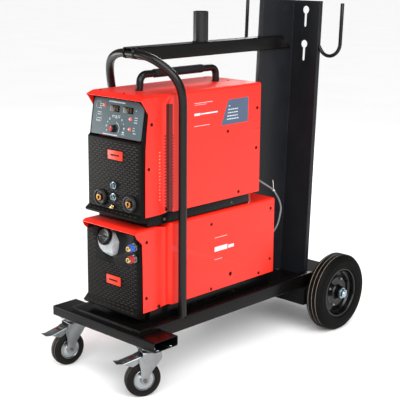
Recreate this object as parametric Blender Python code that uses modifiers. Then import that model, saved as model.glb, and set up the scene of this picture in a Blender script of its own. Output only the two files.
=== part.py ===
"""A TIG welding set: power source and water cooler on a wheeled trolley with a bottle platform.

Metres, +Z up. The front faces -Y and +X is the right side seen from the front. The origin is on the floor,
under the middle of the object.
"""
import math

import bmesh
import bpy
from mathutils import Matrix, Vector

OBJECT_NAME = "tig_welder"
GAP = 0.0003                       # clearance between pieces that touch
MIDDLE_Y = -0.0047                 # middle of the whole length, measured from the drawing's own zero

# Trolley frame
BEAM_HALF_WIDTH = 0.228
BEAM_FRONT, BEAM_REAR = -0.4995, -0.4045
BEAM_BOTTOM, BEAM_TOP = 0.1510, 0.1820
SHEET = 0.0025
RAIL_OUTER, RAIL_INNER = 0.1535, 0.1235
RAIL_TOP = 0.1940
DECK_FRONT, DECK_REAR = -0.4835, 0.3228
FLOOR_TOP = 0.1740
PLATFORM_HALF_WIDTH = 0.1700
PLATFORM_FRONT, PLATFORM_REAR = 0.2565, 0.5545
PLATFORM_BOTTOM, PLATFORM_TOP = 0.0925, 0.1507
BOTTLE_LINE_Y = 0.3420

# Column, leaning back from a pivot line on the platform
COLUMN_LEAN = math.radians(2.4)
COLUMN_PIVOT = Vector((0.0, 0.3235, 0.1520))
COLUMN_LENGTH = 0.955
FLANGE_HALF_WIDTH, FLANGE_SHEET, FLANGE_RETURN = 0.118, 0.003, 0.015
WEB_HALF_WIDTH, WEB_DEPTH = 0.0095, 0.170
WEB_BOTTOM = 0.0300
KEYHOLE_X, KEYHOLE_RADIUS, KEYHOLE_SLOT = 0.061, 0.0130, 0.0100
KEYHOLE_HEIGHTS = (0.9244, 0.8120)
KEYHOLE_DROP = 0.0555

# Boom arm, its pivot socket, the push handle and the torch hooks
ARM_HALF_WIDTH, ARM_BOTTOM, ARM_TOP = 0.0200, 0.9488, 0.9917
ARM_FRONT, ARM_REAR_TOP, ARM_REAR_BOTTOM = -0.3835, 0.2940, 0.3423
SOCKET_Y, SOCKET_RADIUS, SOCKET_BORE, SOCKET_TOP = -0.0795, 0.0233, 0.0203, 1.0842
HANDLE_TUBE = 0.0125
HANDLE_X, HANDLE_Y = 0.1515, -0.3090
HANDLE_LEAN, HANDLE_LEAN_Z, HANDLE_LEAN_SPAN = math.radians(34.4), 0.8835, 0.0600
HANDLE_REACH, HANDLE_BEND = 0.1051, 0.1290
HOOK_ROD, HOOK_BEND = 0.0060, 0.0420
HOOK_CENTRE_X, HOOK_CENTRE_Z, HOOK_TIP_Z = 0.1607, 0.8205, 0.9506

# Rear wheels
AXLE_Y, AXLE_RADIUS = 0.3663, 0.0100
WHEEL_RADIUS, WHEEL_WIDTH, WHEEL_X = 0.1310, 0.0600, 0.2189
RIM_RADIUS = 0.0850
AXLE_NUT_RADIUS, AXLE_END = 0.0150, 0.2620

# Front casters: swivel axes under the beam and the angle that each is parked at
CASTER_X, CASTER_Y, CASTER_TRAIL = 0.1730, -0.4630, 0.0240
CASTER_RADIUS, CASTER_WIDTH = 0.0540, 0.0320
CASTER_YAW = {"right": math.radians(-23.0), "left": math.radians(-8.0)}
BRAKE_PIN_Y, BRAKE_PIN_Z = -0.0380, 0.1205

# Power source
CASE_HALF_WIDTH, CASE_SHEET = 0.1175, 0.0015
SOURCE_BOTTOM, SOURCE_TOP, SOURCE_REAR = 0.5133, 0.8635, 0.0730
BEZEL_HALF_WIDTH = 0.1145
BASE_HALF_WIDTH = 0.1075
PANEL_FOOT = Vector((0.0, -0.4325, 0.7357))
PANEL_TILT = math.radians(9.2)
PANEL_THICK = 0.0015
SOURCE_FACE = -0.4414
KNOB_X, KNOB_S, KNOB_RADIUS, KNOB_HEIGHT = -0.0060, 0.0240, 0.0115, 0.0180
BUTTONS = {"mode_button": (-0.0593, 0.0875), "pulse_button": (0.0557, 0.0584), "gas_test_button": (0.0563, 0.0292)}
BUTTON_RADIUS, BUTTON_TRAVEL = 0.0040, 0.0010
DINSE_SOCKETS = {"torch_power_socket": (-0.0580, 0.5503), "earth_power_socket": (0.0700, 0.5493)}
ROUND_SOCKETS = {"torch_trigger_socket": (0.0010, 0.5946), "foot_pedal_socket": (0.0004, 0.5600)}
GAS_OUTLET_Z = 0.5295
GRIP_Z, GRIP_FRONT, GRIP_REAR = 0.9085, -0.2805, -0.0725
HANDLE_ROD, GRIP_RADIUS = 0.0108, 0.0130
SOURCE_FAN_CENTRE, FAN_RADIUS = Vector((0.0, 0.0500, 0.7000)), 0.0700
MAIN_SWITCH = Vector((-0.0600, 0.0718, 0.8050))

# Water cooler
COOLER_BOTTOM, COOLER_TOP, COOLER_REAR = 0.2268, 0.4791, 0.1530
COOLER_FACE = -0.4505
CAP_TILT = math.radians(65.0)
CAP_SEAT = Vector((-0.0180, -0.4560, 0.4360))
CAP_RADIUS, CAP_HEIGHT, SEAL_HEIGHT = 0.0220, 0.0130, 0.0020
NECK_BORE = 0.0095
COUPLERS = {"blue": 0.4280, "red": 0.3940}
COUPLER_X, COUPLER_LENGTH = 0.0980, 0.0260
COOLER_FAN_CENTRE = Vector((0.0, 0.1365, 0.3400))
FAN_DEPTH = 0.0120

# Link cable between the two units
CABLE_RADIUS = 0.0030
CABLE_GLAND_LENGTH, CABLE_GLAND_RADIUS = 0.0120, 0.0080
SOURCE_GLAND = Vector((0.0850, 0.0715, 0.5450))
COOLER_GLAND = Vector((0.0850, 0.1515, 0.3420))
CABLE_ROUTE = (
    (0.0850, 0.0843, 0.5450),
    (0.0850, 0.0920, 0.5450),
    (0.0870, 0.1100, 0.5370),
    (0.0940, 0.1420, 0.5165),
    (0.0980, 0.1690, 0.4980),
    (0.1000, 0.1860, 0.4770),
    (0.1000, 0.2010, 0.4546),
    (0.1000, 0.2085, 0.4307),
    (0.0980, 0.2070, 0.4078),
    (0.0940, 0.2010, 0.3760),
    (0.0880, 0.1880, 0.3520),
    (0.0850, 0.1720, 0.3420),
    (0.0850, 0.1646, 0.3420),
)

MATERIALS = {
    "red_paint": ((0.80, 0.06, 0.03), 0.38, 0.0),
    "black_paint": ((0.025, 0.025, 0.028), 0.40, 0.0),
    "black_plastic": ((0.02, 0.02, 0.02), 0.55, 0.0),
    "grey_panel": ((0.16, 0.20, 0.21), 0.50, 0.0),
    "dark_glass": ((0.02, 0.02, 0.025), 0.15, 0.0),
    "red_plastic": ((0.60, 0.10, 0.08), 0.40, 0.0),
    "blue_plastic": ((0.04, 0.16, 0.55), 0.40, 0.0),
    "grip_rubber": ((0.05, 0.05, 0.05), 0.80, 0.0),
    "tyre_rubber": ((0.03, 0.03, 0.03), 0.85, 0.0),
    "zinc": ((0.70, 0.70, 0.68), 0.30, 1.0),
    "brass": ((0.75, 0.50, 0.20), 0.30, 1.0),
    "aluminium": ((0.75, 0.76, 0.78), 0.35, 1.0),
    "copper_winding": ((0.60, 0.30, 0.15), 0.40, 1.0),
    "white_plastic": ((0.75, 0.78, 0.80), 0.35, 0.0),
    "cable_grey": ((0.30, 0.31, 0.32), 0.60, 0.0),
}


def clear_scene():
    for obj in list(bpy.data.objects):
        bpy.data.objects.remove(obj)


def collection(name):
    made = bpy.data.collections.new(name)
    bpy.context.scene.collection.children.link(made)
    return made


def material(name):
    if name in bpy.data.materials:
        return bpy.data.materials[name]
    colour, roughness, metallic = MATERIALS[name]
    made = bpy.data.materials.new(name)
    made.use_nodes = True
    shader = made.node_tree.nodes["Principled BSDF"]
    shader.inputs["Base Color"].default_value = (*colour, 1.0)
    shader.inputs["Roughness"].default_value = roughness
    shader.inputs["Metallic"].default_value = metallic
    return made


clear_scene()
PARTS = collection(OBJECT_NAME)
CUTTERS = collection("cutters")


def part(name, mesh, finish):
    """A node of the object: its own mesh, its own material."""
    obj = bpy.data.objects.new(name, mesh)
    own = material(finish).copy()
    own.name = name + "_" + finish
    mesh.materials.clear()
    mesh.materials.append(own)
    mesh.shade_smooth()
    mesh.set_sharp_from_angle(angle=math.radians(35.0))
    PARTS.objects.link(obj)
    return obj


def guide(name, mesh):
    """A hidden helper shape that cuts, joins or trims a part."""
    obj = bpy.data.objects.new(name, mesh)
    CUTTERS.objects.link(obj)
    obj.hide_render = True
    obj.display_type = "WIRE"
    return obj


def mesh_from(bm, name):
    mesh = bpy.data.meshes.new(name)
    bmesh.ops.recalc_face_normals(bm, faces=bm.faces)
    bm.to_mesh(mesh)
    bm.free()
    return mesh


def box_mesh(low, high):
    low, high = Vector(low), Vector(high)
    bm = bmesh.new()
    bmesh.ops.create_cube(bm, size=1.0)
    size = high - low
    bmesh.ops.scale(bm, vec=size, verts=bm.verts)
    bmesh.ops.translate(bm, vec=(low + high) / 2.0, verts=bm.verts)
    return mesh_from(bm, "box")


def along(direction):
    """Rotation that takes +Z to the given direction."""
    return Vector((0.0, 0.0, 1.0)).rotation_difference(Vector(direction)).to_matrix().to_4x4()


def cylinder_mesh(radius, start, end, segments=24):
    start, end = Vector(start), Vector(end)
    bm = bmesh.new()
    bmesh.ops.create_cone(bm, cap_ends=True, segments=segments, radius1=radius, radius2=radius,
                          depth=(end - start).length)
    place = Matrix.Translation((start + end) / 2.0) @ along(end - start)
    bmesh.ops.transform(bm, matrix=place, verts=bm.verts)
    return mesh_from(bm, "cylinder")


def plain_mesh(source, matrix=None):
    """Turn a curve, or an object with modifiers, into a welded mesh and remove the source object."""
    graph = bpy.context.evaluated_depsgraph_get()
    graph.update()
    mesh = bpy.data.meshes.new_from_object(source.evaluated_get(graph))
    bm = bmesh.new()
    bm.from_mesh(mesh)
    bmesh.ops.remove_doubles(bm, verts=bm.verts, dist=0.00001)
    if matrix is not None:
        bmesh.ops.transform(bm, matrix=matrix, verts=bm.verts)
    bmesh.ops.recalc_face_normals(bm, faces=bm.faces)
    bm.to_mesh(mesh)
    bm.free()
    bpy.data.objects.remove(source)
    return mesh


def prism_mesh(outlines, thickness, matrix):
    """Flat outlines, the first the border and the rest holes, thickened both ways about their plane."""
    curve = bpy.data.curves.new("outline", "CURVE")
    curve.dimensions = "2D"
    curve.fill_mode = "BOTH"
    curve.extrude = thickness / 2.0
    for outline in outlines:
        spline = curve.splines.new("POLY")
        spline.points.add(len(outline) - 1)
        for point, (u, v) in zip(spline.points, outline):
            point.co = (u, v, 0.0, 1.0)
        spline.use_cyclic_u = True
    source = bpy.data.objects.new("outline", curve)
    PARTS.objects.link(source)
    return plain_mesh(source, matrix)


# Places for outlines: side outlines give (y, z), plan outlines (x, y), front outlines (x, z).
SIDE_VIEW = Matrix(((0, 0, 1, 0), (1, 0, 0, 0), (0, 1, 0, 0), (0, 0, 0, 1)))
FRONT_VIEW = Matrix(((1, 0, 0, 0), (0, 0, -1, 0), (0, 1, 0, 0), (0, 0, 0, 1)))


def side_prism(outline, x_low, x_high):
    middle = Matrix.Translation(((x_low + x_high) / 2.0, 0.0, 0.0))
    return prism_mesh([outline], x_high - x_low, middle @ SIDE_VIEW)


def tube_mesh(points, radius, resolution=3):
    """A round tube with closed ends along a chain of points."""
    curve = bpy.data.curves.new("tube", "CURVE")
    curve.dimensions = "3D"
    curve.bevel_depth = radius
    curve.bevel_resolution = resolution
    curve.use_fill_caps = True
    spline = curve.splines.new("POLY")
    spline.points.add(len(points) - 1)
    for point, place in zip(spline.points, points):
        point.co = (*place, 1.0)
    source = bpy.data.objects.new("tube", curve)
    PARTS.objects.link(source)
    return plain_mesh(source)


def turned_mesh(profile, matrix, steps=32, closed=False):
    """Spin a profile of (radius, height), top to bottom on its outer side, about the axis of the place."""
    bm = bmesh.new()
    verts = [bm.verts.new((radius, 0.0, height)) for radius, height in profile]
    for first, second in zip(verts, verts[1:]):
        bm.edges.new((first, second))
    if closed:
        bm.edges.new((verts[-1], verts[0]))
    mesh = bpy.data.meshes.new("profile")
    bm.to_mesh(mesh)
    bm.free()
    source = bpy.data.objects.new("profile", mesh)
    PARTS.objects.link(source)
    screw = source.modifiers.new("Screw", "SCREW")
    screw.steps = steps
    screw.render_steps = steps
    screw.use_merge_vertices = True
    screw.merge_threshold = 0.00001
    return plain_mesh(source, matrix)


def combine(obj, helper_mesh, operation):
    helper = guide(obj.name + "_" + operation.lower(), helper_mesh)
    helper.matrix_world = obj.matrix_world
    modifier = obj.modifiers.new(operation.title(), "BOOLEAN")
    modifier.object = helper
    modifier.operation = operation
    return obj


def cut(obj, *meshes):
    for mesh in meshes:
        combine(obj, mesh, "DIFFERENCE")
    return obj


def fuse(obj, *meshes):
    for mesh in meshes:
        combine(obj, mesh, "UNION")
    return obj


def place(obj, parent, location=(0.0, 0.0, 0.0)):
    """Hang a part, and the guides of its modifiers, from a parent frame."""
    for item in [obj] + [modifier.object for modifier in obj.modifiers if modifier.type == "BOOLEAN"]:
        item.parent = parent
        item.location = location
    return obj


def frame(name, location, rotation=(0.0, 0.0, 0.0), parent=None):
    empty = bpy.data.objects.new(name, None)
    empty.location = location
    empty.rotation_euler = rotation
    empty.parent = parent
    CUTTERS.objects.link(empty)
    return empty


def arc(centre, radius, start, end, count):
    """Points (u, v) along a circular arc between two angles in degrees."""
    step = math.radians(end - start) / count
    first = math.radians(start)
    return [(centre[0] + radius * math.cos(first + step * i),
             centre[1] + radius * math.sin(first + step * i)) for i in range(count + 1)]


def smooth_route(points, per_span):
    """Catmull-Rom curve through the points of a route."""
    route = [Vector(point) for point in points]
    route = [2.0 * route[0] - route[1]] + route + [2.0 * route[-1] - route[-2]]
    out = []
    for a, b, c, d in zip(route, route[1:], route[2:], route[3:]):
        for i in range(per_span):
            t = i / per_span
            out.append(0.5 * (2.0 * b + (c - a) * t + (2.0 * a - 5.0 * b + 4.0 * c - d) * t ** 2
                              + (3.0 * b - a - 3.0 * c + d) * t ** 3))
    out.append(route[-2])
    return out


# ---------------------------------------------------------------- trolley frame

def front_cross_beam():
    beam = part("front_cross_beam", box_mesh((-BEAM_HALF_WIDTH, BEAM_FRONT, BEAM_BOTTOM),
                                             (BEAM_HALF_WIDTH, BEAM_REAR, BEAM_TOP)), "black_paint")
    past = 0.01
    return cut(beam, box_mesh((-BEAM_HALF_WIDTH - past, BEAM_FRONT + SHEET, BEAM_BOTTOM + SHEET),
                              (BEAM_HALF_WIDTH + past, BEAM_REAR - SHEET, BEAM_TOP - SHEET)))


def side_rail(name, side):
    low, high = sorted((side * RAIL_INNER, side * RAIL_OUTER))
    rail = part(name, box_mesh((low, DECK_FRONT, BEAM_BOTTOM), (high, DECK_REAR, RAIL_TOP)), "black_paint")
    past = 0.01
    hollow = box_mesh((low + SHEET, DECK_FRONT - past, BEAM_BOTTOM + SHEET),
                      (high - SHEET, DECK_REAR + past, RAIL_TOP - SHEET))
    notch = box_mesh((low - past, DECK_FRONT - past, BEAM_BOTTOM - past),
                     (high + past, BEAM_REAR + GAP, BEAM_TOP + GAP))
    return cut(rail, hollow, notch)


def floor_plate():
    """Folded sheet: a front deck over the beam, stepping down to the floor between the rails."""
    half_width = RAIL_INNER - GAP
    sheet = 0.003
    step_front = BEAM_REAR + GAP
    outline = [
        (DECK_FRONT, BEAM_TOP + GAP), (DECK_FRONT, RAIL_TOP), (step_front + sheet, RAIL_TOP),
        (step_front + sheet, FLOOR_TOP), (DECK_REAR, FLOOR_TOP), (DECK_REAR, FLOOR_TOP - sheet),
        (step_front, FLOOR_TOP - sheet), (step_front, RAIL_TOP - sheet),
        (DECK_FRONT + sheet, RAIL_TOP - sheet), (DECK_FRONT + sheet, BEAM_TOP + GAP),
    ]
    return part("floor_plate", side_prism(outline, -half_width, half_width), "black_paint")


def bottle_platform():
    platform = part("bottle_platform", box_mesh(
        (-PLATFORM_HALF_WIDTH, PLATFORM_FRONT, PLATFORM_BOTTOM),
        (PLATFORM_HALF_WIDTH, PLATFORM_REAR, PLATFORM_TOP)), "black_paint")
    past = 0.01
    hollow = box_mesh((-PLATFORM_HALF_WIDTH + SHEET, PLATFORM_FRONT + SHEET, PLATFORM_BOTTOM - past),
                      (PLATFORM_HALF_WIDTH - SHEET, PLATFORM_REAR - SHEET, PLATFORM_TOP - SHEET))
    axle_holes = cylinder_mesh(AXLE_RADIUS + GAP, (-PLATFORM_HALF_WIDTH - past, AXLE_Y, WHEEL_RADIUS),
                               (PLATFORM_HALF_WIDTH + past, AXLE_Y, WHEEL_RADIUS))
    bottle_line = box_mesh((-PLATFORM_HALF_WIDTH - past, BOTTLE_LINE_Y, PLATFORM_TOP - 0.0008),
                           (PLATFORM_HALF_WIDTH + past, BOTTLE_LINE_Y + 0.0012, PLATFORM_TOP + past))
    return cut(platform, hollow, axle_holes, bottle_line)


def column_outline():
    """Plan of the folded sheet: a wide flange with returns and a deep narrow web pushed forward."""
    inner = WEB_HALF_WIDTH - SHEET
    right = [
        (WEB_HALF_WIDTH, -WEB_DEPTH), (WEB_HALF_WIDTH, 0.0), (FLANGE_HALF_WIDTH, 0.0),
        (FLANGE_HALF_WIDTH, FLANGE_RETURN), (FLANGE_HALF_WIDTH - FLANGE_SHEET, FLANGE_RETURN),
        (FLANGE_HALF_WIDTH - FLANGE_SHEET, FLANGE_SHEET), (inner, FLANGE_SHEET), (inner, -WEB_DEPTH + SHEET),
    ]
    return right + [(-x, y) for x, y in reversed(right)]


def column(column_frame):
    lift = Matrix.Translation((0.0, 0.0, COLUMN_LENGTH / 2.0))
    post = part("column", prism_mesh([column_outline()], COLUMN_LENGTH, lift), "black_paint")
    past = 0.02
    cut(post, box_mesh((-0.05, -WEB_DEPTH - past, -past), (0.05, -GAP, WEB_BOTTOM)))
    for side in (-1, 1):
        x = side * KEYHOLE_X
        for height in KEYHOLE_HEIGHTS:
            cut(post, cylinder_mesh(KEYHOLE_RADIUS, (x, -past, height), (x, past, height), 20),
                box_mesh((x - KEYHOLE_SLOT / 2.0, -past, height - KEYHOLE_DROP),
                         (x + KEYHOLE_SLOT / 2.0, past, height)))
    return place(post, column_frame)


def boom_arm():
    arm = part("boom_arm", box_mesh((-ARM_HALF_WIDTH, ARM_FRONT, ARM_BOTTOM),
                                    (ARM_HALF_WIDTH, ARM_REAR_BOTTOM, ARM_TOP)), "black_paint")
    past = 0.02
    hollow = box_mesh((-ARM_HALF_WIDTH + SHEET, ARM_FRONT - past, ARM_BOTTOM + SHEET),
                      (ARM_HALF_WIDTH - SHEET, ARM_REAR_BOTTOM + past, ARM_TOP - SHEET))
    web_front = COLUMN_PIVOT.y - WEB_DEPTH + math.tan(COLUMN_LEAN) * (ARM_BOTTOM - COLUMN_PIVOT.z)
    slot = box_mesh((-WEB_HALF_WIDTH - GAP, web_front - GAP - 0.001, ARM_BOTTOM - past),
                    (WEB_HALF_WIDTH + GAP, ARM_REAR_BOTTOM + past, ARM_TOP + past))
    rear_slant = side_prism([(ARM_REAR_BOTTOM, ARM_BOTTOM), (ARM_REAR_BOTTOM + past, ARM_BOTTOM),
                             (ARM_REAR_BOTTOM + past, ARM_TOP + past), (ARM_REAR_TOP, ARM_TOP + past),
                             (ARM_REAR_TOP, ARM_TOP)], -past - ARM_HALF_WIDTH, past + ARM_HALF_WIDTH)
    taper = side_prism([(ARM_FRONT - past, ARM_BOTTOM - past), (ARM_FRONT + 0.071, ARM_BOTTOM - past),
                        (ARM_FRONT + 0.071, ARM_BOTTOM), (ARM_FRONT - past, ARM_BOTTOM + 0.0125)],
                       -past - ARM_HALF_WIDTH, past + ARM_HALF_WIDTH)
    bore = cylinder_mesh(HANDLE_TUBE + GAP, handle_point(-0.03, HANDLE_REACH), handle_point(0.03, HANDLE_REACH))
    return cut(arm, hollow, slot, rear_slant, taper, bore)


def handle_point(x, along):
    """A point of the push handle, measured along it from the middle of its forward bend."""
    span, lean = HANDLE_LEAN_SPAN, HANDLE_LEAN
    bent = min(max(along, -span), span)
    radius, turned = 2.0 * span / lean, lean * (bent + span) / (2.0 * span)
    beyond = along - bent
    forward = radius * (1.0 - math.cos(turned)) + beyond * math.sin(turned)
    height = radius * math.sin(turned) - span + beyond * math.cos(turned)
    return Vector((x, HANDLE_Y - forward, HANDLE_LEAN_Z + height))


def push_handle():
    side = HANDLE_REACH - HANDLE_BEND
    corner = arc((HANDLE_X - HANDLE_BEND, side), HANDLE_BEND, 0.0, 90.0, 9)
    start = [(HANDLE_X, -HANDLE_LEAN_SPAN + k * 0.0120) for k in range(3)]
    right = [Vector((HANDLE_X, HANDLE_Y, RAIL_TOP + GAP))]
    right += [handle_point(x, along) for x, along in start + corner]
    left = [Vector((-point.x, point.y, point.z)) for point in reversed(right)]
    return part("push_handle", tube_mesh(right + left, HANDLE_TUBE), "black_paint")


def boom_socket():
    profile = [(SOCKET_RADIUS, SOCKET_TOP), (SOCKET_RADIUS, ARM_TOP + GAP), (SOCKET_BORE, ARM_TOP + GAP),
               (SOCKET_BORE, SOCKET_TOP)]
    axis = Matrix.Translation((0.0, SOCKET_Y, 0.0))
    return part("boom_socket", turned_mesh(profile, axis, 32, closed=True), "black_paint")


def torch_hook(name, side, column_frame):
    bend = arc((HOOK_CENTRE_X, HOOK_CENTRE_Z), HOOK_BEND, 217.0, 360.0, 10)
    depth = FLANGE_RETURN / 2.0
    start = (FLANGE_HALF_WIDTH - 0.008, depth, bend[0][1] + 0.021)
    points = [start] + [(x, depth, z) for x, z in bend] + [(HOOK_CENTRE_X + HOOK_BEND, depth, HOOK_TIP_Z)]
    points = [(side * x, y, z) for x, y, z in points]
    hook = part(name, tube_mesh(points, HOOK_ROD, 2), "black_paint")
    edge = FLANGE_HALF_WIDTH + GAP
    cut(hook, box_mesh((-edge, -0.05, 0.70), (edge, 0.05, 1.00)))
    return place(hook, column_frame)


# ---------------------------------------------------------------- wheels

def wheel_axis(x, y, z):
    """Place for a turned shape whose axis runs along +X."""
    return Matrix.Translation((x, y, z)) @ Matrix.Rotation(math.radians(90.0), 4, "Y")


def rear_axle():
    nut_start = WHEEL_X + WHEEL_WIDTH / 2.0 + 0.0006
    profile = [(0.0, AXLE_END), (AXLE_NUT_RADIUS, AXLE_END), (AXLE_NUT_RADIUS, nut_start), (AXLE_RADIUS, nut_start),
               (AXLE_RADIUS, -nut_start), (AXLE_NUT_RADIUS, -nut_start), (AXLE_NUT_RADIUS, -AXLE_END),
               (0.0, -AXLE_END)]
    return part("rear_axle", turned_mesh(profile, wheel_axis(0.0, AXLE_Y, WHEEL_RADIUS), 24), "zinc")


def rear_tyre(name, side):
    half = WHEEL_WIDTH / 2.0
    crown, bead = WHEEL_RADIUS, RIM_RADIUS
    shoulder = arc((crown - 0.022, half - 0.022), 0.022, 90.0, 0.0, 4)
    top = [(bead, half - 0.004)] + shoulder
    profile = top + [(r, -h) for r, h in reversed(top)]
    place_at = wheel_axis(side * WHEEL_X, AXLE_Y, WHEEL_RADIUS)
    return part(name, turned_mesh(profile, place_at, 40, closed=True), "tyre_rubber")


def rear_rim(name, side):
    half, hub, web = WHEEL_WIDTH / 2.0, 0.0220, 0.0050
    seat, bore, flange = RIM_RADIUS - GAP, AXLE_RADIUS + 0.0004, 0.0035
    top = [(bore, half), (hub, half), (hub, web), (seat - flange, web), (seat - flange, half - 0.006),
           (seat, half - 0.006)]
    profile = top + [(r, -h) for r, h in reversed(top)]
    place_at = wheel_axis(side * WHEEL_X, AXLE_Y, WHEEL_RADIUS)
    return part(name, turned_mesh(profile, place_at, 32, closed=True), "black_paint")


def caster_plate(side_name, swivel):
    low, high = 0.1407, BEAM_BOTTOM - GAP
    plate = part("caster_plate_" + side_name, box_mesh((-0.0375, -0.0290, high - 0.003), (0.0375, 0.0290, high)),
                 "zinc")
    fuse(plate, cylinder_mesh(0.0250, (0.0, 0.0, low), (0.0, 0.0, high - 0.002), 32))
    return place(plate, swivel)


def caster_fork(side_name, heading):
    outer, inner, top, foot = 0.0235, 0.0205, 0.1404, 0.0400
    strap = [(-outer, foot), (-outer, top), (outer, top), (outer, foot), (inner, foot), (inner, top - 0.0045),
             (-inner, top - 0.0045), (-inner, foot)]
    mesh = prism_mesh([strap[::-1]], 0.1200, FRONT_VIEW)
    fork = part("caster_fork_" + side_name, mesh, "zinc")
    leg = [(0.0280, top + 0.01), (0.0280, 0.1280), (-0.0040, 0.1000)]
    leg += arc((-CASTER_TRAIL, CASTER_RADIUS), 0.0120, 20.0, -200.0, 8)
    leg += [(-0.0430, 0.1120), (-0.0430, 0.1250), (-0.0300, 0.1280), (-0.0300, top + 0.01)]
    combine(fork, side_prism(leg[::-1], -0.03, 0.03), "INTERSECT")
    fuse(fork, cylinder_mesh(0.0050, (-0.0275, -CASTER_TRAIL, CASTER_RADIUS), (0.0275, -CASTER_TRAIL, CASTER_RADIUS), 16))
    return place(fork, heading)


def caster_wheel(side_name, heading):
    half, hub_half, bore = CASTER_WIDTH / 2.0, 0.0200, 0.0054
    shoulder = arc((CASTER_RADIUS - 0.010, half - 0.010), 0.010, 90.0, 0.0, 3)
    top = [(bore, hub_half), (0.0130, hub_half), (0.0130, half - 0.004), (0.0360, half - 0.004), (0.0380, half)] + shoulder
    profile = top + [(r, -h) for r, h in reversed(top)]
    mesh = turned_mesh(profile, wheel_axis(0.0, 0.0, 0.0), 28, closed=True)
    wheel = part("caster_wheel_" + side_name, mesh, "tyre_rubber")
    return place(wheel, heading, (0.0, -CASTER_TRAIL, CASTER_RADIUS))


def brake_pedal(side_name, heading):
    """Channel-shaped pedal over the wheel, drawn about its hinge pin."""
    half_width, sheet, skirt, length = 0.0195, 0.0020, 0.0090, 0.0636
    inner = half_width - sheet
    channel = [(-half_width, -skirt), (-inner, -skirt), (-inner, -sheet), (inner, -sheet), (inner, -skirt),
               (half_width, -skirt), (half_width, 0.0), (-half_width, 0.0)]
    slope = Matrix.Rotation(math.radians(7.0), 4, "X") @ Matrix.Translation((0.0, 0.002 - length / 2.0, 0.0))
    pedal = part("brake_pedal_" + side_name, prism_mesh([channel], length, slope @ FRONT_VIEW), "zinc")
    fuse(pedal, cylinder_mesh(0.0025, (-0.0202, 0.0, -0.0030), (0.0202, 0.0, -0.0030), 12))
    return place(pedal, heading, (0.0, BRAKE_PIN_Y, BRAKE_PIN_Z))


def casters():
    for side_name, side in (("right", 1), ("left", -1)):
        swivel = frame("swivel_" + side_name, (side * CASTER_X, CASTER_Y, 0.0))
        heading = frame("heading_" + side_name, (0.0, 0.0, 0.0), (0.0, 0.0, CASTER_YAW[side_name]), swivel)
        caster_plate(side_name, swivel)
        caster_fork(side_name, heading)
        caster_wheel(side_name, heading)
        brake_pedal(side_name, heading)


# ---------------------------------------------------------------- casings of both units

def cover(name, outline, hollow):
    """Wrap-round sheet cover with a visor: a side outline, less the same outline one sheet smaller."""
    shell = part(name, side_prism(outline, -CASE_HALF_WIDTH, CASE_HALF_WIDTH), "red_paint")
    inside = CASE_HALF_WIDTH - CASE_SHEET
    return cut(shell, side_prism(hollow, -inside, inside))


def source_cover():
    outline = [
        (-0.4260, SOURCE_BOTTOM), (-0.4257, 0.6260), (-0.4239, 0.7128), (-0.4189, 0.7638), (-0.4132, 0.8110),
        (-0.4231, 0.8268), (-0.4375, 0.8475), (-0.4440, 0.8520), (-0.4165, SOURCE_TOP), (SOURCE_REAR, SOURCE_TOP),
        (SOURCE_REAR, SOURCE_BOTTOM),
    ]
    under = SOURCE_TOP - CASE_SHEET
    hollow = [(-0.5500, SOURCE_BOTTOM - 0.02), (-0.5500, 0.8050), (-0.4160, under), (0.2000, under),
              (0.2000, SOURCE_BOTTOM - 0.02)]
    return cover("source_cover", outline[::-1], hollow[::-1])


def cooler_cover():
    outline = [
        (-0.4368, COOLER_BOTTOM), (-0.4378, 0.3610), (-0.4400, 0.4378), (-0.4551, 0.4516), (-0.4600, 0.4560),
        (-0.4670, 0.4700), (-0.4540, COOLER_TOP), (COOLER_REAR, COOLER_TOP), (COOLER_REAR, COOLER_BOTTOM),
    ]
    under = COOLER_TOP - CASE_SHEET
    hollow = [(-0.5500, COOLER_BOTTOM - 0.02), (-0.5500, 0.4100), (-0.4535, under), (0.3000, under),
              (0.3000, COOLER_BOTTOM - 0.02)]
    return cover("cooler_cover", outline[::-1], hollow[::-1])


def base_pan(name, front, rear, bottom, top):
    pan = part(name, box_mesh((-BASE_HALF_WIDTH, front, bottom), (BASE_HALF_WIDTH, rear, top)), "black_paint")
    wall = 0.002
    return cut(pan, box_mesh((-BASE_HALF_WIDTH + wall, front + wall, bottom + wall),
                             (BASE_HALF_WIDTH - wall, rear - wall, top + 0.01)))


def source_front_bezel():
    outline = [
        (-0.4180, 0.4941), (-0.4530, 0.5040), (-0.4565, 0.5110), (-0.4411, 0.5213), (-0.4405, 0.7290),
        (PANEL_FOOT.y, PANEL_FOOT.z), (-0.4150, 0.8438), (-0.4050, 0.8470), (-0.4100, 0.4941),
    ]
    bezel = part("source_front_bezel", side_prism(outline[::-1], -BEZEL_HALF_WIDTH, BEZEL_HALF_WIDTH),
                 "black_plastic")
    return cut(bezel, box_mesh((-0.1100, -0.4300, 0.5150), (0.1100, -0.3900, 0.7250)))


def cooler_front_bezel():
    outline = [
        (-0.4400, 0.2044), (-0.4660, 0.2190), (-0.4694, 0.2246), (COOLER_FACE, 0.2417), (COOLER_FACE, 0.4430),
        (-0.4440, 0.4560), (-0.4300, 0.4650), (-0.4300, 0.2044),
    ]
    bezel = part("cooler_front_bezel", side_prism(outline[::-1], -BEZEL_HALF_WIDTH, BEZEL_HALF_WIDTH),
                 "black_plastic")
    return cut(bezel, box_mesh((-0.0600, -0.4800, 0.3600), (0.0530, -0.4200, 0.4580)))


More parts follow.
